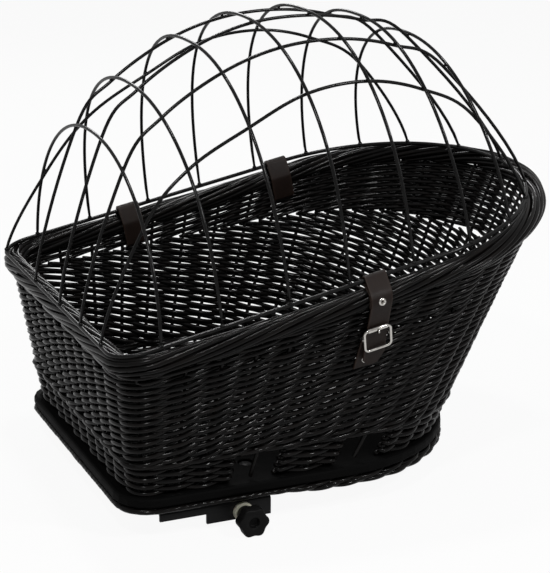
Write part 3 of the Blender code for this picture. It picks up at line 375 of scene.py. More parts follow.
def run_along(points):
    return np.concatenate([[0.0], np.cumsum(np.linalg.norm(np.diff(points, axis=0), axis=1))])


fine_s = np.linspace(0.0, 2 * HALF_SPAN, 2161)
fine_run = run_along(wall_points(fine_s, RUN_LEVEL, 0.0))
whole_run = fine_run[-1]


def run_of(s):
    return np.interp(s, fine_s, fine_run)


def run_at(station):
    """The run round the wall, on the hinge side, as far as a station."""
    s = np.linspace(CORNER_START, HALF_SPAN, 2000)
    stations = wall_points(s, STATION_LEVEL, 0.0)[:, 0] + CLAMP_STATION
    return run_of(np.interp(station, stations, s))


front_gap = run_of(CORNER_START) / FRONT_STAKES
half_stakes = [front_gap * (k + 0.5) for k in range(FRONT_STAKES)]
half_stakes.append((half_stakes[-1] + run_at(SIDE_STAKE_STATIONS[0])) / 2)
half_stakes += [run_at(station) for station in SIDE_STAKE_STATIONS]
round_gap = (run_of(HALF_SPAN) - half_stakes[-1]) / (ROUND_STAKES + 0.5)
half_stakes += [half_stakes[-1] + round_gap * (k + 1) for k in range(ROUND_STAKES)]
stake_runs = np.array(half_stakes + [whole_run - run for run in reversed(half_stakes)])
STAKES = len(stake_runs)


def place_of(kappa):
    """The place s at a stake number, whole at a stake and anything between."""
    numbers = np.arange(-1, STAKES + 2)
    runs = np.concatenate([[stake_runs[-1] - whole_run], stake_runs, stake_runs[:2] + whole_run])
    run = np.interp(np.mod(kappa, STAKES), numbers, runs)
    return np.interp(np.mod(run, whole_run), fine_run, fine_s)


def waver(count, size, waves):
    """A smooth seeded waver over a run."""
    turns = np.arange(count) / count * 2 * np.pi
    total = np.zeros(count)
    for wave in waves:
        total += luck.normal() * np.sin(wave * turns + luck.uniform(0, 2 * np.pi))
    return size * total / math.sqrt(len(waves))


def add_piece(name, mesh, finish, rides_on, slot, replaces=()):
    """Add a finished mesh, and say what it rides on and what it stands for. The slot is not used."""
    mesh.name = name
    mesh.materials.append(finish.material)
    made = show(name, mesh)
    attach(made, rides_on)
    if replaces:
        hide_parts(*replaces)
    return made


def add_tubes(name, runs, radius, sides, *said):
    """Add round rods as one piece, from runs of (points, thickness shares, closed).

    Each point keeps its place along and round its rod, for the finish's fibres.
    """
    curve = bpy.data.curves.new(name, "CURVE")
    curve.dimensions = "3D"
    curve.bevel_depth = radius
    curve.bevel_resolution = (sides - 4) // 2
    around = 2 * np.pi * np.arange(sides) / sides
    blocks = []
    for number, (points, shares, closed) in enumerate(runs):
        spline = curve.splines.new("POLY")
        spline.points.add(len(points) - 1)
        spline.points.foreach_set("co", np.column_stack([points, np.ones(len(points))]).ravel())
        spline.points.foreach_set("radius", shares)
        spline.use_cyclic_u = closed
        block = np.zeros((len(points), sides, 3))
        block[:, :, 0] = (run_along(points) + number * STRAND_SHIFT)[:, None]
        block[:, :, 1] = radius * np.cos(around)
        block[:, :, 2] = radius * np.sin(around)
        blocks.append(block.reshape(-1, 3))
    holder = show(name, curve)
    bpy.context.view_layer.update()
    mesh = bpy.data.meshes.new_from_object(holder.evaluated_get(bpy.context.evaluated_depsgraph_get()))
    bpy.data.objects.remove(holder, do_unlink=True)
    strand = np.concatenate(blocks).astype(np.float32).ravel()
    mesh.attributes.new("strand", "FLOAT_VECTOR", "POINT").data.foreach_set("vector", strand)
    merged = bmesh.new()
    merged.from_mesh(mesh)
    bmesh.ops.remove_doubles(merged, verts=merged.verts, dist=TUBE_WELD)
    bpy.data.meshes.remove(mesh)
    add_piece(name, mesh_of(merged), *said)


willow = Finish("black_willow_rods", Specular_IOR_Level=0.11)
on_strand = willow.node("ShaderNodeAttribute", output="Vector", attribute_name="strand")
fibres = willow.noise((60.0, 1500.0, 1500.0), 5.0, 0.6, on_strand)
patches = willow.noise((22.0, 60.0, 60.0), 3.0, 0.5, on_strand)
each_rod = willow.noise((2.6, 0.0, 0.0), 1.0, 0.5, on_strand)
thin = willow.ramp(patches * 0.65 + fibres * 0.35, (0.44, BLACK), (0.68, WHITE))
stain = willow.mix(each_rod, (0.0017, 0.0016, 0.0016), (0.00476, 0.00448, 0.00448))
willow.feed(Base_Color=willow.mix(thin * 0.5, stain, (0.00884, 0.00672, 0.00576)),
            Roughness=0.10 + 0.14 * patches + 0.08 * (fibres - 0.5),
            Normal=willow.relief(patches, 0.0007, 0.45, Normal=willow.relief(fibres, 0.00018, 0.5)))
basket_willow = (willow, "basket", "black_willow")

stake_rods = []
for number in range(STAKES):
    v = np.linspace(*STAKE_ENDS, 24)
    s = place_of(np.full(v.shape, float(number)))
    stake_rods.append((wall_points(s, v, waver(len(v), ROD_WAVER, (1, 2))),
                       STAKE_FULLNESS - STAKE_TAPER * v, False))
add_tubes("stakes", stake_rods, STAKE_RADIUS, 8, *basket_willow)


# The lower wall is a spiral weave: as many rods as there are spaces climb round the tub
# together, each two rows a space, in front of one stake and behind the next. Below the
# wale the rows lie level, with two windows that each have one stake standing in them.

ROW_START = 0.0200
LOW_PITCH = 0.0042
HIGH_PITCH = 0.0029
PITCH_SPAN = 0.145
SPIRAL_ROWS = 46
SPIRAL_STEPS = 6
SPIRAL_FOOT = 0.0495
SPIRAL_WAVER = 0.00030
SPIRAL_LUCK = 0.05
SPIRAL_OVERLAP = 0.0012
LEVEL_ROWS = 8
LEVEL_CLOSENESS = 0.93
ROD_RADIUS = 0.0020
ROD_SIDES = 6
ROD_FULLNESS = 1.37
ROD_REACH = 0.0032
REACH_KEPT = 0.75
ROD_TILT = 0.0007
ROW_LUCK = 0.03
ROD_END_LENGTH = 0.05
ROD_END_SHARE = 0.8
CUT_END_REACH = 0.3
FEWEST_POINTS = 4
WINDOW_STAKES = ((29, 31), (33, 35))
WINDOW_TURN = 0.13
ROW_STEPS = 8
UPPER_EDGE_HEIGHT = 0.137
UPPER_EDGE_SLOPE = 0.095
UPPER_EDGE_TOP = 0.176

pitch_loss = LOW_PITCH - HIGH_PITCH


def row_height(n):
    """Height of row n, as the rows come closer towards the rods' tips."""
    return ROW_START + LOW_PITCH / pitch_loss * PITCH_SPAN * (1 - np.exp(-pitch_loss * n / PITCH_SPAN))


def row_pitch(height):
    return LOW_PITCH - pitch_loss * np.clip((height - ROW_START) / PITCH_SPAN, 0, 1)


def zone_edge(station):
    """Height at which the rows along the rim take over from the spiral ones."""
    return np.minimum(UPPER_EDGE_HEIGHT + UPPER_EDGE_SLOPE * station, UPPER_EDGE_TOP)


def level_share(s, height):
    """Share of the wall's height that lies at a height above the foot."""
    bottom, top = wall_ends(s)
    return (height - BOARD_BOTTOM) / (top[:, 2] - bottom[:, 2])


def kept_parts(keep, closed):
    """Runs of neighbouring places that are kept, across the joint of a closed row."""
    order = np.arange(len(keep))
    if closed:
        order = (order + int(np.argmin(keep))) % len(keep)
    parts = np.split(order, np.flatnonzero(np.diff(keep[order])) + 1)
    return [part for part in parts if keep[part[0]] and len(part) >= FEWEST_POINTS]


def rod_with_ends(points, thick):
    """A rod whose two ends are rounded off."""
    first = points[0] + (points[0] - points[1]) * ROD_END_LENGTH
    last = points[-1] + (points[-1] - points[-2]) * ROD_END_LENGTH
    thick = np.concatenate([[0.0], thick, [0.0]])
    thick[1] *= ROD_END_SHARE
    thick[-2] *= ROD_END_SHARE
    return np.concatenate([[first], points, [last]]), thick, False


spiral_rods = []
for rod in range(2 * STAKES):
    n = np.linspace(SPIRAL_ROWS, 0, SPIRAL_ROWS // 2 * SPIRAL_STEPS + 1)
    kappa = (rod - n) / 2
    s = place_of(kappa)
    side = np.cos(np.pi * (kappa - rod))
    height = row_height(n) + ROD_TILT * side + waver(len(n), SPIRAL_WAVER, (2, 5, 9, 14))
    closeness = row_pitch(height) / LOW_PITCH
    reach = ROD_REACH * (REACH_KEPT + (1 - REACH_KEPT) * closeness)
    out = reach * side + waver(len(n), ROD_WAVER, (3, 7, 12))
    points = wall_points(s, level_share(s, height), out)
    keep = (height > SPIRAL_FOOT) & (height < zone_edge(points[:, 0] + CLAMP_STATION) + SPIRAL_OVERLAP)
    thick = closeness * (ROD_FULLNESS + waver(len(n), SPIRAL_LUCK, (2, 5)) + luck.normal() * SPIRAL_LUCK)
    for part in kept_parts(keep, False):
        spiral_rods.append(rod_with_ends(points[part], thick[part]))
add_tubes("woven_rods_spiral", spiral_rods, ROD_RADIUS, ROD_SIDES, *basket_willow, ["wicker_wall"])

kappas = np.arange(STAKES * ROW_STEPS) / ROW_STEPS
row_s = place_of(kappas)
row_bottom, row_top = wall_ends(row_s)
row_length = np.linalg.norm(row_top - row_bottom, axis=1)
in_window = np.zeros(len(kappas), bool)
for low, high in WINDOW_STAKES:
    in_window |= (kappas > low + WINDOW_TURN) & (kappas < high - WINDOW_TURN)


def woven_row(number, shares, keep, thick, reach=ROD_REACH, tilt=ROD_TILT, period=2.0, phase=0.0, bias=0.0):
    """One closed row of the weave, cut where it isn't kept, where its rods turn round the stake."""
    count = len(kappas)
    side = np.cos(2 * np.pi * kappas / period + np.pi * number + phase)
    out = bias + reach * side + waver(count, ROD_WAVER, (7, 13, 29, 41))
    shares = shares + (tilt * side + waver(count, ROD_WAVER, (5, 11, 23, 47))) / row_length
    thick = thick * (1.0 + waver(count, ROW_LUCK, (3, 8, 17)) + luck.normal() * ROW_LUCK)
    if keep.all():
        return [(wall_points(row_s, shares, out), thick, True)]
    rods = []
    for part in kept_parts(keep, True):
        part_out = out[part].copy()
        part_out[0] *= CUT_END_REACH
        part_out[-1] *= CUT_END_REACH
        rods.append(rod_with_ends(wall_points(row_s[part], shares[part], part_out), thick[part]))
    return rods


level_rods = []
for row in range(LEVEL_ROWS):
    height = ROW_START + row * LOW_PITCH * LEVEL_CLOSENESS
    level_rods += woven_row(row, level_share(row_s, height), ~in_window, ROD_FULLNESS)
add_tubes("woven_rods_level", level_rods, ROD_RADIUS, ROD_SIDES, *basket_willow)


# A wale of three thicker rods closes the windows at the top, and ties the stakes together
# all the way round.

WALE_LEVEL = 0.0505
WALE_RODS = 3
WALE_WAVES = 15
WALE_LAG = 1.2
WALE_ROD_RADIUS = 0.0023
WALE_REACH = 0.0030
WALE_BIAS = 0.0014
WALE_LIFT = 0.0012

wale_rods = []
whole_row = np.ones(len(kappas), bool)
for strand_number in range(WALE_RODS):
    phase = strand_number * 2 * np.pi / WALE_RODS
    lift = WALE_LIFT * np.cos(2 * np.pi * kappas * WALE_WAVES / STAKES + phase + WALE_LAG)
    wale_rods += woven_row(0, level_share(row_s, WALE_LEVEL + lift), whole_row, 1.0, WALE_REACH, 0.0,
                           STAKES / WALE_WAVES, phase, WALE_BIAS)
add_tubes("wale", wale_rods, WALE_ROD_RADIUS, ROD_SIDES, *basket_willow)


# The upper wall is woven in thinner rods, in rows along the rim. Their ends lie on the
# spiral's level edge, so that this band is a wedge that grows towards the rear.

UPPER_PITCH = 0.0032
UPPER_ROD_RADIUS = 0.00152
UPPER_REACH = 0.0028
UPPER_ROWS = 20
UPPER_OVERLAP = 0.0008
RIM_BITE = 0.0015

upper_rods = []
rim_reach = (RIM_ROLL_RADIUS - RIM_BITE) / row_length
for row in range(UPPER_ROWS):
    shares = 1 - rim_reach - (row + 0.5) * UPPER_PITCH / row_length
    middle = row_bottom + (row_top - row_bottom) * shares[:, None]
    keep = middle[:, 2] + PLATE_BOTTOM > zone_edge(middle[:, 0] + CLAMP_STATION) + UPPER_OVERLAP
    if keep.any():
        upper_rods += woven_row(row, shares, keep, ROD_FULLNESS, UPPER_REACH)
add_tubes("woven_rods_upper", upper_rods, UPPER_ROD_RADIUS, ROD_SIDES, *basket_willow)


# The rim is a rolled border: the stakes' ends are bent down and laid along the rim over
# their neighbours in a slow twist, from the inside over the top to the outside.

BORDER_SPAN = 9.0
BORDER_START_LUCK = 0.18
BORDER_ROD_RADIUS = 0.0024
CORE_RADIUS = 0.0060
BORDER_TURN_DEG = 150.0
BORDER_WOBBLE = 0.03
BORDER_LIE = 0.72
BORDER_RISE = 0.26
BORDER_WAVER = 0.0003
BORDER_LIE_LUCK = 0.00025
BORDER_FULLNESS = 1.08
BORDER_LUCK = 0.06
BORDER_TIP_START = 0.6
BORDER_TIP_LOSS = 0.4


def rim_frame(kappa):
    """Middle of the rim's roll, with the outward and upward directions across it."""
    ahead = wall_ends(place_of(kappa + NEAR_STEP))[1]
    along = unit(ahead - wall_ends(place_of(kappa - NEAR_STEP))[1])
    up = unit(np.array([0.0, 0.0, 1.0]) - along * along[:, 2:3])
    return wall_ends(place_of(kappa))[1], np.cross(up, along), up


border_rods = []
for number in range(STAKES):
    share = np.linspace(0.0, 1.0, 45)
    kappa = number + luck.uniform(-BORDER_START_LUCK, BORDER_START_LUCK) + share * BORDER_SPAN
    middle, outward, up = rim_frame(kappa)
    wobble = BORDER_WOBBLE * np.sin(4 * np.pi * share + luck.uniform(0, 6))
    angle = np.radians(BORDER_TURN_DEG * (2 * share - 1 + wobble))
    lay = CORE_RADIUS + BORDER_ROD_RADIUS * (BORDER_LIE + BORDER_RISE * np.sin(np.pi * share))
    lay = lay + luck.normal() * BORDER_LIE_LUCK + waver(len(share), BORDER_WAVER, (1, 2, 3))
    points = middle + outward * (lay * np.sin(angle))[:, None] + up * (lay * np.cos(angle))[:, None]
    fullness = BORDER_FULLNESS + luck.normal() * BORDER_LUCK
    tip = np.clip((share - BORDER_TIP_START) / (1 - BORDER_TIP_START), 0, 1)
    border_rods.append(rod_with_ends(points, fullness * (1 - BORDER_TIP_LOSS * tip ** 1.5)))
core_kappa = np.arange(STAKES * 4) / 4
core_thick = np.full(len(core_kappa), CORE_RADIUS / BORDER_ROD_RADIUS)
border_rods.append((rim_frame(core_kappa)[0], core_thick, True))
add_tubes("rim_border_rods", border_rods, BORDER_ROD_RADIUS, 8, *basket_willow, ["rim_border"])


# Under the board the stakes' lower ends are turned back and plaited into a low foot
# border, which holds the board in the weave. Its rods hang lower from the middle back.

FOOT_LEVEL = 0.0044
FOOT_SPAN = 3.0
FOOT_TWINS = (0.0, 0.33, 0.66)
FOOT_INNER_INSET = 0.014
FOOT_OUTER_INSET = 0.0015
FOOT_ROD_RADIUS = 0.0024
FOOT_FULLNESS = 1.08
FOOT_LUCK = 0.05
FOOT_TAPER = 0.25
FOOT_LIFT = 0.0015
FOOT_SAG = 0.0056
FOOT_SAG_START = 0.175
FOOT_SAG_RUN = 0.025

foot_rods = []
for number in range(STAKES):
    for twin in FOOT_TWINS:
        share = np.linspace(0.0, 1.0, 25)
        s = place_of(number + twin + share * FOOT_SPAN)
        inner_x, inner_y = board_edge(s, FOOT_INNER_INSET)
        outer_x, outer_y = board_edge(s, FOOT_OUTER_INSET)
        swing = 0.5 - 0.5 * np.cos(2 * np.pi * share)
        x = inner_x + (outer_x - inner_x) * swing - CLAMP_STATION
        y = inner_y + (outer_y - inner_y) * swing
        sag = FOOT_SAG * np.clip((x + CLAMP_STATION - FOOT_SAG_START) / FOOT_SAG_RUN, 0, 1) * twin
        lift = FOOT_LIFT * np.cos(np.pi * share)
        z = FOOT_LEVEL - PLATE_BOTTOM + lift + waver(len(share), ROD_WAVER, (1, 2)) - sag
        thick = FOOT_FULLNESS + luck.normal() * FOOT_LUCK - FOOT_TAPER * share
        foot_rods.append(rod_with_ends(np.stack([x, y, z], -1), thick))
add_tubes("foot_border_rods", foot_rods, FOOT_ROD_RADIUS, ROD_SIDES, *basket_willow, ["foot_border"])


# The dome is bent steel wire with a thin black coat: a ring that lies on the rim, seven
# hoops on it and five long wires just inside the hoops, with a weld at each crossing.

RING_LENGTH = 0.4757
RING_WIDTH = 0.376
RING_CORNER = 0.029
RING_ROUND_DEPTH = 0.1597
RING_RISE = 0.0123
RING_WIRE_RADIUS = 0.002
WIRE_RADIUS = 0.0016
WELD_GAP = 0.0005
CROSSING_WELD = 0.92
FOOT_WELD = 1.45
DOME_HEIGHT = 0.214
HOOP_SHARES = (0.085, 0.205, 0.341, 0.464, 0.598, 0.723, 0.836)
HOOP_RISE_SHARES = (0.708, 0.857, 0.966, 1.0, 0.957, 0.865, 0.719)
HOOP_LEANS = (0.01, -0.10, -0.12, -0.12, -0.14, -0.17, -0.21)
HOOP_SIDES = (2.15, 2.18, 2.35, 2.17, 2.34, 2.43, 2.27)
HOOP_CROWNS = (1.83, 2.31, 2.13, 2.68, 2.41, 1.83, 1.90)
WIRE_SPREADS = (
    (0.90, 0.713, 0.66),
    (0.31, 0.317, 0.345),
    (-0.11, -0.082, -0.04),
    (-0.45, -0.425, -0.44),
    (-0.763, -0.717, -0.66),
)
WIRE_MIDDLE = 0.42
WIRE_STEPS = 10
HOOP_STEPS = 26
STEEPER = Matrix.Diagonal((0.5, 1.0, 1.0))

foot_rise = RING_WIRE_RADIUS + WELD_GAP


def ring_height(station):
    return RIM_FRONT_HEIGHT + RING_RISE + RIM_SLOPE * station


def ring_side(station):
    """Distance of the ring's wire from the middle plane at a station."""
    half = RING_WIDTH / 2
    if station < RING_CORNER:
        return half - RING_CORNER + math.sqrt(max(RING_CORNER ** 2 - (RING_CORNER - station) ** 2, 0.0))
    start = RING_LENGTH - RING_ROUND_DEPTH
    if station < start:
        return half
    return half * math.sqrt(max(1 - ((station - start) / RING_ROUND_DEPTH) ** 2, 0.0))


def hoop_point(index, side):
    """The middle of a hoop's wire at a side distance from the middle plane."""
    station = HOOP_SHARES[index] * RING_LENGTH
    share = min(abs(side) / ring_side(station), 1.0)
    rise = HOOP_RISE_SHARES[index] * DOME_HEIGHT
    up = rise * (1 - share ** HOOP_SIDES[index]) ** (1 / HOOP_CROWNS[index])
    return place(station + HOOP_LEANS[index] * up, side, ring_height(station) + max(up, foot_rise))


def long_wire_side(wire, share):
    """Side distance of a long wire, on a smooth bend through its three spreads."""
    front, middle, rear = WIRE_SPREADS[wire]
    m = WIRE_MIDDLE
    at_front = (share - m) * (share - 1) / m
    at_middle = share * (share - 1) / (m * (m - 1))
    at_rear = share * (share - m) / (1 - m)
    return (front * at_front + middle * at_middle + rear * at_rear) * RING_WIDTH / 2


def smooth_run(points, start_way, end_way):
    """A smooth run through points, with given directions at its two ends."""
    ways = [start_way] + [(after - before) / 2 for before, after in zip(points, points[2:])] + [end_way]
    run = []
    for k in range(len(points) - 1):
        for j in range(WIRE_STEPS):
            t = j / WIRE_STEPS
            run.append(points[k] * (2 * t ** 3 - 3 * t ** 2 + 1) + ways[k] * (t ** 3 - 2 * t ** 2 + t)
                       + points[k + 1] * (3 * t ** 2 - 2 * t ** 3) + ways[k + 1] * (t ** 3 - t ** 2))
    run.append(points[-1])
    return run


def rounded(run):
    return rod_with_ends(np.array([tuple(point) for point in run]), np.ones(len(run)))


wire_coat = Finish("black_wire_coat", Specular_IOR_Level=0.14)
orange_peel = wire_coat.noise(900.0, 2.0)
dull = wire_coat.noise(60.0, 3.0)
wire_coat.feed(Base_Color=wire_coat.mix(dull, (0.0035, 0.0035, 0.0037), (0.0085, 0.0082, 0.0080)),
               Roughness=0.10 + 0.16 * dull, Normal=wire_coat.relief(orange_peel, 0.00012, 0.35))
dome_wire = (wire_coat, "dome", "black_wire")

ring_s = np.linspace(0.0, 2 * HALF_SPAN, 217)[:-1]
ring_x, ring_y = outline(0.0, RING_LENGTH, RING_WIDTH, RING_CORNER, RING_ROUND_DEPTH, ring_s)
ring_points = np.stack([ring_x - CLAMP_STATION, ring_y, ring_height(ring_x) - PLATE_BOTTOM], -1)
add_tubes("cage_ring_wire", [(ring_points, np.ones(len(ring_points)), True)], RING_WIRE_RADIUS, 12,
          *dome_wire, ["cage_ring"])

hoop_runs = []
wire_ends = []
turns = [math.pi * (k / (2 * HOOP_STEPS) - 1 / 2) for k in range(2 * HOOP_STEPS + 1)]
for index, station_share in enumerate(HOOP_SHARES):
    half = ring_side(station_share * RING_LENGTH)
    run = [hoop_point(index, half * math.sin(turn)) for turn in turns]
    hoop_runs.append(rounded(run))
    wire_ends += [run[0], run[-1]]
add_tubes("dome_hoops", hoop_runs, WIRE_RADIUS, 10, *dome_wire, ["hoop_%d" % k for k in range(1, 8)])

long_runs = []
welds = []
for wire in range(len(WIRE_SPREADS)):
    front_side = long_wire_side(wire, 0.0)
    rear_side = long_wire_side(wire, 1.0)
    past = max(abs(front_side) - (RING_WIDTH / 2 - RING_CORNER), 0.0)
    front_station = RING_CORNER - math.sqrt(RING_CORNER ** 2 - past ** 2)
    bend = math.sqrt(1 - (2 * rear_side / RING_WIDTH) ** 2)
    rear_station = RING_LENGTH - RING_ROUND_DEPTH * (1 - bend)
    front = place(front_station, front_side, ring_height(front_station) + foot_rise)
    rear = place(rear_station, rear_side, ring_height(rear_station) + foot_rise)
    sides = [long_wire_side(wire, share) for share in HOOP_SHARES]
    crossings = [hoop_point(index, side) for index, side in enumerate(sides)]
    run = [front] + crossings + [rear]
    points = [front]
    step = RING_WIDTH / HOOP_STEPS
    for index, crossing in enumerate(crossings):
        across = hoop_point(index, sides[index] + step) - hoop_point(index, sides[index] - step)
        inward = (run[index + 2] - run[index]).cross(across).normalized()
        if inward.z > 0:
            inward.negate()
        points.append(crossing + inward * (2 * WIRE_RADIUS + WELD_GAP))
        welds.append((crossing + points[-1]) / 2)
    points.append(rear)
    ways = STEEPER @ (points[1] - front), STEEPER @ (rear - points[-2])
    long_runs.append(rounded(smooth_run(points, *ways)))
    wire_ends += [front, rear]
add_tubes("dome_long_wires", long_runs, WIRE_RADIUS, 10, *dome_wire,
          ["long_wire_%d" % k for k in range(1, 6)])

weld_body = bmesh.new()
feet = [wire_end - Vector((0.0, 0.0, WELD_GAP)) for wire_end in wire_ends]
for middles, segments, size in ((welds, 8, CROSSING_WELD), (feet, 10, FOOT_WELD)):
    for middle in middles:
        bmesh.ops.create_uvsphere(weld_body, u_segments=segments, v_segments=6,
                                  radius=WIRE_RADIUS * size, matrix=Matrix.Translation(middle))
add_piece("dome_welds", mesh_of(weld_body), *dome_wire)


# Two short leather belts join the dome to the rim on the far long side. Each goes round the
# ring and the rim's roll and through the weave, and a rivet closes it below the roll.

BELT_SHARES = (0.2933, 0.6496)
BELT_WIDTH = 0.023
BELT_THICKNESS = 0.0024
STRAP_SLACK = 0.0008
BELT_DROP = 0.012
BELT_CORNER = 0.0024
SEAT_GAP = 0.0003
RIVET_HEAD_RADIUS = 0.0038
RIVET_HEAD_HEIGHT = 0.0014
RIVET_SHANK_RADIUS = 0.0016
RIVET_HEAD = ((0.0, -0.35), (0.22, -0.30), (0.34, 0.15), (0.44, 0.68), (0.58, 0.95), (0.74, 0.86),
              (0.90, 0.52), (1.0, 0.12), (1.0, 0.0))
BAND_COLUMNS = 6
LEATHER_EDGE_SHARE = 0.28
LEATHER_EDGE_DEG = 60.0
TURN_STEPS = 28
TURN_WELD = 0.000005
TURNED_EDGE_DEG = 42.0

rim_tilt = math.atan(RIM_SLOPE)


def arc(centre, radius, start_deg, end_deg, steps):
    points = []
    for k in range(steps + 1):
        turn = math.radians(start_deg + (end_deg - start_deg) * k / steps)
        points.append((centre[0] + radius * math.cos(turn), centre[1] + radius * math.sin(turn)))
    return points


def belt_angles(upper, upper_radius, lower, lower_radius):
    """Where a belt round two circles leaves them on its right and on its left."""
    rise = Vector(upper) - Vector(lower)
    base = math.degrees(math.atan2(rise.y, rise.x))
    spread = math.degrees(math.acos((lower_radius - upper_radius) / rise.length))
    return base - spread, base + spread


def grow(body, edges):
    """Draw edges out into faces, and give the new points and edges."""
    grown = bmesh.ops.extrude_edge_only(body, edges=edges)["geom"]
    moved = [item for item in grown if isinstance(item, bmesh.types.BMVert)]
    near = set(moved)
    return moved, [item for item in grown if isinstance(item, bmesh.types.BMEdge)
                   and item.verts[0] in near and item.verts[1] in near]


def leather_band(path, across, width, closed=False):
    """A run of points drawn out across a leather band's width, with its two edges marked."""
    band = bmesh.new()
    edge_layer = band.verts.layers.float.new("edge")
    moved = [band.verts.new(point - across * (width / 2)) for point in path]
    edges = [band.edges.new(pair) for pair in zip(moved, moved[1:])]
    if closed:
        edges.append(band.edges.new((moved[-1], moved[0])))
    for vert in moved:
        vert[edge_layer] = 1.0
    for column in range(1, BAND_COLUMNS + 1):
        moved, edges = grow(band, edges)
        bmesh.ops.translate(band, vec=across * (width / BAND_COLUMNS), verts=moved)
        for vert in moved:
            vert[edge_layer] = 1.0 if column == BAND_COLUMNS else 0.0
    return band


def finish_band(name, band, thickness, rides_on, replaces):
    """Thicken a leather band evenly and round its cut edges."""
    bmesh.ops.recalc_face_normals(band, faces=band.faces)
    made = add_piece(name, mesh_of(band), leather, rides_on, "brown_leather", replaces)
    thicken = made.modifiers.new("thickness", "SOLIDIFY")
    thicken.thickness = thickness
    thicken.offset = 0.0
    thicken.use_even_offset = True
    round_edges(made, thickness * LEATHER_EDGE_SHARE, 3, LEATHER_EDGE_DEG)


leather = Finish("dark_leather", Specular_IOR_Level=0.16)
pores = leather.node("ShaderNodeTexVoronoi", {"Vector": leather.object_place(), "Scale": 1100.0},
                     feature="DISTANCE_TO_EDGE")
creases = leather.noise(260.0, 5.0, 0.65)
blotches = leather.noise(55.0, 3.0)
rubbed = leather.node("ShaderNodeAttribute", output="Fac", attribute_name="edge")
hide = leather.mix(blotches, (0.0052, 0.0030, 0.0024), (0.0140, 0.0080, 0.0060))
worn = leather.mix((rubbed ** 3.0) * 0.55 * creases, hide, (0.052, 0.032, 0.023))
leather.feed(Base_Color=worn, Roughness=0.30 + 0.30 * creases,
             Normal=leather.relief(pores ** 0.6, 0.00022, 0.35,
                                   Normal=leather.relief(creases, 0.0003, 0.45)))

nickel = Finish("nickel_plate", Metallic=1.0)
haze = nickel.noise(420.0, 4.0)
pits = nickel.noise(2400.0, 2.0)
nickel.feed(Base_Color=nickel.mix(haze, (0.44, 0.42, 0.39), (0.66, 0.64, 0.61)),
            Roughness=0.08 + 0.16 * haze, Normal=nickel.relief(pits, 0.00004, 0.4))
basket_nickel = (nickel, "basket", "nickel_steel")


def solid_mesh(body, matrix, sharp_deg):
    """The mesh of a closed body, brought to its place, with its sharper edges kept."""
    bmesh.ops.recalc_face_normals(body, faces=body.faces)
    bmesh.ops.transform(body, matrix=matrix, verts=body.verts)
    mesh = mesh_of(body)
    mesh.set_sharp_from_angle(angle=math.radians(sharp_deg))
    return mesh


def turned_mesh(profile, matrix):
    """A piece spun round its own Z from a profile of radius and height."""
    spun = bmesh.new()
    verts = [spun.verts.new((radius, 0.0, height)) for radius, height in profile]
    edges = [spun.edges.new(pair) for pair in zip(verts, verts[1:])]
    bmesh.ops.spin(spun, geom=verts + edges, axis=(0.0, 0.0, 1.0), cent=(0.0, 0.0, 0.0),
                   angle=2 * math.pi, steps=TURN_STEPS, use_merge=True)
    bmesh.ops.remove_doubles(spun, verts=spun.verts, dist=TURN_WELD)
    return solid_mesh(spun, matrix, TURNED_EDGE_DEG)


def rivet(name, foot, axes, depth, rides_on, replaces):
    """A tubular rivet: a rolled bright ring round a small hollow, on a plain shank."""
    profile = [(RIVET_HEAD_RADIUS * across, RIVET_HEAD_HEIGHT * up) for across, up in RIVET_HEAD]
    profile += [(RIVET_SHANK_RADIUS, 0.0), (RIVET_SHANK_RADIUS, -depth), (0.0, -depth)]
    mesh = turned_mesh(profile, Matrix.Translation(foot) @ axes)
    add_piece(name, mesh, nickel, rides_on, "nickel_steel", replaces)


along = Vector((math.cos(rim_tilt), 0.0, math.sin(rim_tilt)))
outward = Vector((0.0, 1.0, 0.0))
upward = Vector((-math.sin(rim_tilt), 0.0, math.cos(rim_tilt)))
middle = BELT_THICKNESS / 2
ring_radius = RING_WIRE_RADIUS + STRAP_SLACK + middle
roll_radius = RIM_ROLL_RADIUS + 2 * SEAT_GAP + middle
corner = BELT_CORNER
for number, ring_share in enumerate(BELT_SHARES, 1):
    station = ring_share * RING_LENGTH
    origin = place(station, 0.0, ring_height(station))
    ring_spot = (RING_WIDTH / 2, 0.0)
    roll_level = (float(rim_height(station)) - ring_height(station)) * math.cos(rim_tilt)
    roll_spot = (RIM_WIDTH / 2, roll_level)
    bottom = roll_level - RIM_ROLL_RADIUS - BELT_DROP
    right, left = belt_angles(ring_spot, ring_radius, roll_spot, roll_radius)
    loop = arc(ring_spot, ring_radius, right, left, 10)
    loop += arc(roll_spot, roll_radius, left, 180, 8)
    loop += arc((roll_spot[0] - roll_radius + corner, bottom + corner), corner, 180, 270, 5)
    loop += arc((roll_spot[0] + roll_radius - corner, bottom + corner), corner, 270, 360, 5)
    loop += arc(roll_spot, roll_radius, 0, right, 8)
    band_path = [origin + outward * across + upward * up for across, up in loop]
    finish_band("hinge_belt_%d" % number, leather_band(band_path, along, BELT_WIDTH, closed=True),
                BELT_THICKNESS, "basket", ["hinge_strap_%d" % number])
    axes = Matrix((upward, along, outward)).transposed().to_4x4()
    head_foot = (origin + outward * (roll_spot[0] + roll_radius + middle + SEAT_GAP)
                 + upward * (roll_level - RIM_ROLL_RADIUS / 2))
    rivet("hinge_belt_rivet_%d" % number, head_foot, axes, BELT_THICKNESS + SEAT_GAP / 2, "basket",
          ["hinge_strap_rivet_%d" % number])


# The tongue strap closes the dome on the near side. It is folded round the ring, riveted
# over the rim's roll, and runs down through the buckle to a tapered tip.

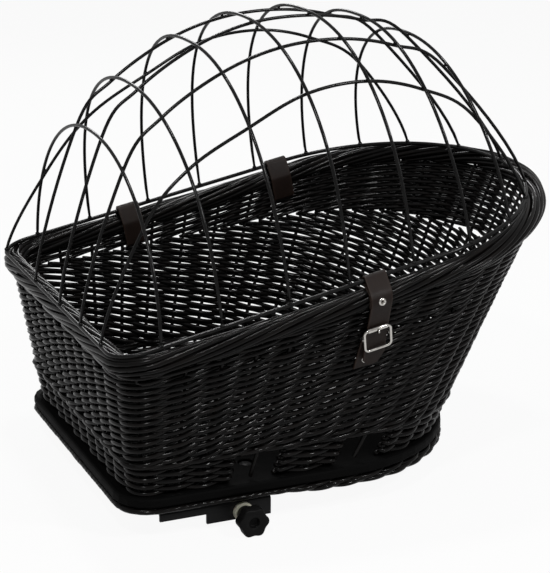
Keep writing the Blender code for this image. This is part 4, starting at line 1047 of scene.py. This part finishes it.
TONGUE_STATION = 0.514 * RING_LENGTH
TONGUE_WIDTH = 0.021
STRAP_THICKNESS = 0.002
TONGUE_WRAP_DEG = -22.0
TONGUE_RING_DEG = 275.0
TONGUE_INNER_DEG = 76.0
TONGUE_TIP_DROP = 0.029
TONGUE_TIP_TAPER = 0.006
TONGUE_TIP_SLOPE = 0.8
LAYER_GAP = 0.0004
WALL_THICKNESS = 0.008
WALL_FOOT_INSET = 0.010
BUCKLE_DROP = 0.0342
BUCKLE_WIDTH = 0.029
BUCKLE_HEIGHT = 0.0245
FRAME_RADIUS = 0.0013
BUCKLE_CORNER = 0.004
BUCKLE_LIFT = 0.0016
ROLLER_RADIUS = 0.0022
ROLLER_LENGTH = 0.020
ROLLER_CLEARANCE = 0.0003
ROLLER_EDGE = 0.0004
BAR_RADIUS = 0.0011
PRONG_RADIUS = 0.0009
LOWER_STRAP_WIDTH = 0.019
LOWER_STRAP_LENGTH = 0.034
LOWER_FOLD_LAP = 0.008
LOWER_SKEW = 0.36

tongue_rim = float(rim_height(TONGUE_STATION))
wall_low = BOARD_WIDTH / 2 - WALL_FOOT_INSET
wall_lean = (RIM_WIDTH / 2 + WALL_THICKNESS / 2 - wall_low) / (tongue_rim - BOARD_BOTTOM)
buckle_height = tongue_rim - BUCKLE_DROP
lean_angle = math.atan(wall_lean)
strap_up = Vector((math.sin(lean_angle), math.cos(lean_angle)))
strap_out = Vector((math.cos(lean_angle), -math.sin(lean_angle)))
tongue_face = BUCKLE_LIFT - ROLLER_RADIUS - SEAT_GAP
fold_front = tongue_face - STRAP_THICKNESS - SEAT_GAP
bar_depth = fold_front - STRAP_THICKNESS - SEAT_GAP - BAR_RADIUS
fold_radius = BAR_RADIUS + SEAT_GAP + STRAP_THICKNESS / 2
lower_face = bar_depth - fold_radius - STRAP_THICKNESS / 2
wall_at_buckle = Vector((wall_low + wall_lean * (buckle_height - BOARD_BOTTOM), buckle_height))
buckle_point = wall_at_buckle + strap_out * (SEAT_GAP - lower_face)


def near_point(out, up):
    """A point in the near wall's profile, out of the wall and up it."""
    return place(TONGUE_STATION, -out, up)


def on_strap(up, out):
    """A point in the near profile, from the buckle's middle, up along the strap and out from it."""
    return tuple(buckle_point + strap_up * up + strap_out * out)


level = tongue_face - STRAP_THICKNESS / 2
ring_spot = (RING_WIDTH / 2, ring_height(TONGUE_STATION))
roll_spot = (RIM_WIDTH / 2, tongue_rim)
ring_radius = RING_WIRE_RADIUS + STRAP_SLACK + STRAP_THICKNESS / 2
inner_radius = RIM_ROLL_RADIUS + SEAT_GAP + STRAP_THICKNESS / 2
outer_radius = inner_radius + STRAP_THICKNESS + LAYER_GAP
right, left = belt_angles(ring_spot, ring_radius, roll_spot, outer_radius)
tongue_run = [on_strap(-TONGUE_TIP_DROP + TONGUE_TIP_DROP * k / 9, level) for k in range(10)]
tongue_run += [on_strap(BUCKLE_HEIGHT / 2, level)]
tongue_run += arc(roll_spot, outer_radius, TONGUE_WRAP_DEG, right, 14)
tongue_run += arc(ring_spot, ring_radius, right, TONGUE_RING_DEG, 12)
tongue_run += arc(roll_spot, inner_radius, TONGUE_INNER_DEG, TONGUE_WRAP_DEG, 12)
slope_way = Vector((1.0, 0.0, RIM_SLOPE))
tongue_path = [near_point(out, up) for out, up in tongue_run]
band = leather_band(tongue_path, slope_way, TONGUE_WIDTH)
hinge_way = slope_way.normalized()
strap_rise = Vector((0.0, -strap_up.x, strap_up.y))
buckle_out = hinge_way.cross(strap_rise).normalized()
buckle_axes = Matrix((hinge_way, buckle_out.cross(hinge_way), buckle_out)).transposed().to_4x4()
for hand in (-1, 1):
    tip_corner = tongue_path[0] + slope_way * (hand * TONGUE_WIDTH / 2)
    cut_way = buckle_axes @ Vector((hand, -TONGUE_TIP_SLOPE, 0.0))
    cut_place = tip_corner + buckle_axes @ Vector((-hand * TONGUE_TIP_TAPER, 0.0, 0.0))
    bmesh.ops.bisect_plane(band, geom=band.verts[:] + band.edges[:] + band.faces[:], plane_co=cut_place,
                           plane_no=cut_way, clear_outer=True)
finish_band("tongue_leather", band, STRAP_THICKNESS, "dome", ["tongue_strap"])
head_axes = Matrix(((0, 1, 0, 0), (0, 0, -1, 0), (-1, 0, 0, 0), (0, 0, 0, 1)))
head_out = roll_spot[0] + outer_radius + STRAP_THICKNESS / 2 + SEAT_GAP
rivet("tongue_rivet", near_point(head_out, tongue_rim), head_axes, 2 * STRAP_THICKNESS + LAYER_GAP, "dome",
      ["tongue_strap_rivet"])


# The roller buckle is bent from nickelled wire: a frame, a bar behind its middle that
# the lower strap is folded round, a roller on its top side and a prong on the bar.

buckle_space = Matrix.Translation(near_point(buckle_point.x, buckle_point.y)) @ buckle_axes
half_width = BUCKLE_WIDTH / 2 - FRAME_RADIUS
half_height = BUCKLE_HEIGHT / 2 - FRAME_RADIUS


def in_buckle(x, up, out):
    return tuple(buckle_space @ Vector((x, up, out)))


frame_run = []
for hand_x, hand_y, start in ((1, 1, 0), (-1, 1, 90), (-1, -1, 180), (1, -1, 270)):
    centre = (hand_x * (half_width - BUCKLE_CORNER), hand_y * (half_height - BUCKLE_CORNER))
    frame_run += arc(centre, BUCKLE_CORNER, start, start + 90, 8)
frame_points = np.array([in_buckle(x, y, BUCKLE_LIFT) for x, y in frame_run])
add_tubes("buckle_frame_wire", [(frame_points, np.ones(len(frame_points)), True)], FRAME_RADIUS, 14,
          *basket_nickel, ["buckle_frame"])
touch = BUCKLE_LIFT - FRAME_RADIUS - SEAT_GAP
bar_half = [(half_width, touch), (half_width, bar_depth + BAR_RADIUS),
            (half_width - BAR_RADIUS, bar_depth)]
bar_run = [(-x, z) for x, z in bar_half] + [(x, z) for x, z in reversed(bar_half)]
add_tubes("buckle_bar_wire", [rounded([in_buckle(x, 0.0, z) for x, z in bar_run])], BAR_RADIUS, 12,
          *basket_nickel, ["buckle_centre_bar"])
bore = FRAME_RADIUS + ROLLER_CLEARANCE
half = ROLLER_LENGTH / 2
rolled = [(ROLLER_RADIUS - ROLLER_EDGE, half), (ROLLER_RADIUS - ROLLER_EDGE * 0.3, half - ROLLER_EDGE * 0.3),
          (ROLLER_RADIUS, half - ROLLER_EDGE)]
profile = rolled + [(radius, -height) for radius, height in reversed(rolled)]
profile += [(bore, -half), (bore, half), rolled[0]]
roller_seat = Matrix.Translation((0.0, half_height, BUCKLE_LIFT)) @ turned(90.0, "Y")
add_piece("buckle_roller_tube", turned_mesh(profile, buckle_space @ roller_seat), nickel, "roller",
          "nickel_steel", ["buckle_roller"])
wrap = BAR_RADIUS + PRONG_RADIUS + SEAT_GAP
rest_out = BUCKLE_LIFT + ROLLER_RADIUS + PRONG_RADIUS + SEAT_GAP
prong_run = arc((0.0, bar_depth), wrap, -150, 90, 14)
prong_run += [(wrap + PRONG_RADIUS, bar_depth + wrap + PRONG_RADIUS),
              (half_height - ROLLER_RADIUS, rest_out), (half_height + PRONG_RADIUS, rest_out)]
add_tubes("buckle_prong_wire", [rounded([in_buckle(0.0, up, out) for up, out in prong_run])], PRONG_RADIUS,
          10, nickel, "prong", "nickel_steel", ["buckle_prong"])


# The lower strap is folded round the buckle's bar and runs down the wall, a little
# askew, behind the tongue. A rivet holds it to a stake.

back = bar_depth + fold_radius
low = lower_face + STRAP_THICKNESS / 2
lower_run = [(back, -LOWER_FOLD_LAP), (back, -fold_radius)]
lower_run += arc((bar_depth, 0.0), fold_radius, 0, 180, 12)
lower_run += [(low, -LOWER_STRAP_LENGTH * k / 6) for k in range(1, 7)]
skew = Matrix.Identity(4)
skew[0][1] = LOWER_SKEW
lower_space = buckle_space @ skew
lower_path = [lower_space @ Vector((0.0, up, out)) for out, up in lower_run]
finish_band("lower_leather", leather_band(lower_path, hinge_way, LOWER_STRAP_WIDTH), STRAP_THICKNESS,
            "basket", ["lower_strap"])
face = low + STRAP_THICKNESS / 2
head_foot = lower_space @ Vector((0.0, 2 * RIVET_HEAD_RADIUS - LOWER_STRAP_LENGTH, face + SEAT_GAP))
rivet("lower_rivet", head_foot, buckle_axes, STRAP_THICKNESS + SEAT_GAP / 2, "basket",
      ["lower_strap_rivet"])


# The carrier clamp is black painted steel: a plate with a flange under the board, on
# spacers and four carriage bolts, one fixed jaw and one that slides.

CUT_EDGE = 0.0005
SMALL_EDGE = 0.0004

clamp_paint = Finish("black_clamp_paint", Specular_IOR_Level=0.15)
peel = clamp_paint.noise(700.0, 2.0)
scuffs = clamp_paint.noise((300.0, 40.0, 300.0), 5.0, 0.7)
chips = clamp_paint.ramp(scuffs, (0.70, BLACK), (0.76, WHITE))
clamp_paint.feed(Base_Color=clamp_paint.mix(chips * 0.6, (0.0050, 0.0050, 0.0053), (0.040, 0.038, 0.036)),
                 Roughness=0.30 + 0.25 * scuffs, Normal=clamp_paint.relief(peel, 0.00015, 0.35))
dress(["clamp_plate", "fixed_jaw", "moving_jaw"], clamp_paint, CUT_EDGE)
for number in range(1, 5):
    dress(["bolt_nut_%d" % number], clamp_paint, SMALL_EDGE)
    dress(["plate_spacer_%d" % number, "carriage_bolt_%d" % number], clamp_paint)


# The clamp's stud, its thick washer and the square nut on the jaw are yellow zinc plated,
# brighter in some patches than in others.

zinc = Finish("yellow_zinc_plate", Metallic=0.7)
tint = zinc.noise(120.0, 3.0)
lathe = zinc.noise((60.0, 900.0, 60.0), 3.0)
bloom = zinc.ramp(tint, (0.35, (0.80, 0.82, 0.52)), (0.52, (0.92, 0.91, 0.76)), (0.66, (0.82, 0.72, 0.55)))
zinc.feed(Base_Color=bloom, Roughness=0.28 + 0.22 * lathe, Normal=zinc.relief(lathe, 0.00006, 0.5))
dress(["stud_washer", "clamp_stud"], zinc)
dress(["jaw_nut"], zinc, SMALL_EDGE)


# The star knob is moulded black plastic with six lobes, rounded edges and a deep round
# hollow in its face. A neck keeps it clear of the board's edge. Each ring of its surface
# has its radius, its share of the lobes and its distance out from the middle plane.

KNOB_LOBE_DEPTH = 0.0020
KNOB_LOBES = 6
KNOB_RINGS = (
    (0.0033, 0.0, 0.1740), (0.0033, 0.0, 0.1580), (0.0037, 0.0, 0.1576), (0.0069, 0.0, 0.1576),
    (0.0075, 0.0, 0.1582), (0.0075, 0.0, 0.1694), (0.0082, 0.1, 0.1703), (0.0100, 0.6, 0.1706),
    (0.0128, 1.0, 0.1706), (0.0140, 1.0, 0.1709), (0.0147, 1.0, 0.1716), (0.0150, 1.0, 0.1728),
    (0.0150, 1.0, 0.1814), (0.0147, 1.0, 0.1826), (0.0140, 1.0, 0.1833), (0.0128, 1.0, 0.1836),
    (0.0100, 0.6, 0.1836), (0.0076, 0.0, 0.1834), (0.0066, 0.0, 0.1830), (0.0058, 0.0, 0.1828),
    (0.0052, 0.0, 0.1824), (0.0050, 0.0, 0.1816), (0.0049, 0.0, 0.1784), (0.0046, 0.0, 0.1778),
    (0.0040, 0.0, 0.1776),
)
KNOB_SIDES = 96
KNOB_EDGE_DEG = 50.0
STUD_STATION = 0.131
STUD_HEIGHT = -0.0115


def set_ring(verts, radius, lobe_share, height):
    """Bring a ring of points to a radius, its share of the lobes and a height."""
    for vert in verts:
        angle = math.atan2(vert.co.y, vert.co.x)
        reach = radius - lobe_share * KNOB_LOBE_DEPTH * (1 - math.cos(KNOB_LOBES * angle)) / 2
        vert.co = (reach * math.cos(angle), reach * math.sin(angle), height)


knob_body = bmesh.new()
bmesh.ops.create_circle(knob_body, cap_ends=True, segments=KNOB_SIDES, radius=1.0)
ring_edges = knob_body.edges[:]
set_ring(knob_body.verts[:], *KNOB_RINGS[0])
for knob_ring in KNOB_RINGS[1:]:
    moved, ring_edges = grow(knob_body, ring_edges)
    set_ring(moved, *knob_ring)
bmesh.ops.edgeloop_fill(knob_body, edges=ring_edges)
knob_seat = Matrix.Translation(place(STUD_STATION, 0.0, STUD_HEIGHT)) @ turned(90.0, "X")
moulding = Finish("black_moulding", Specular_IOR_Level=0.08)
spark = moulding.noise(2600.0, 2.0)
smear = moulding.noise(130.0, 3.0)
moulding.feed(Base_Color=moulding.mix(smear, (0.0026, 0.0026, 0.0028), (0.0066, 0.0064, 0.0062)),
              Roughness=0.36 + 0.18 * smear, Normal=moulding.relief(spark, 0.00006, 0.5))
add_piece("star_knob_moulding", solid_mesh(knob_body, knob_seat, KNOB_EDGE_DEG), moulding, "knob",
          "black_plastic", ["star_knob"])
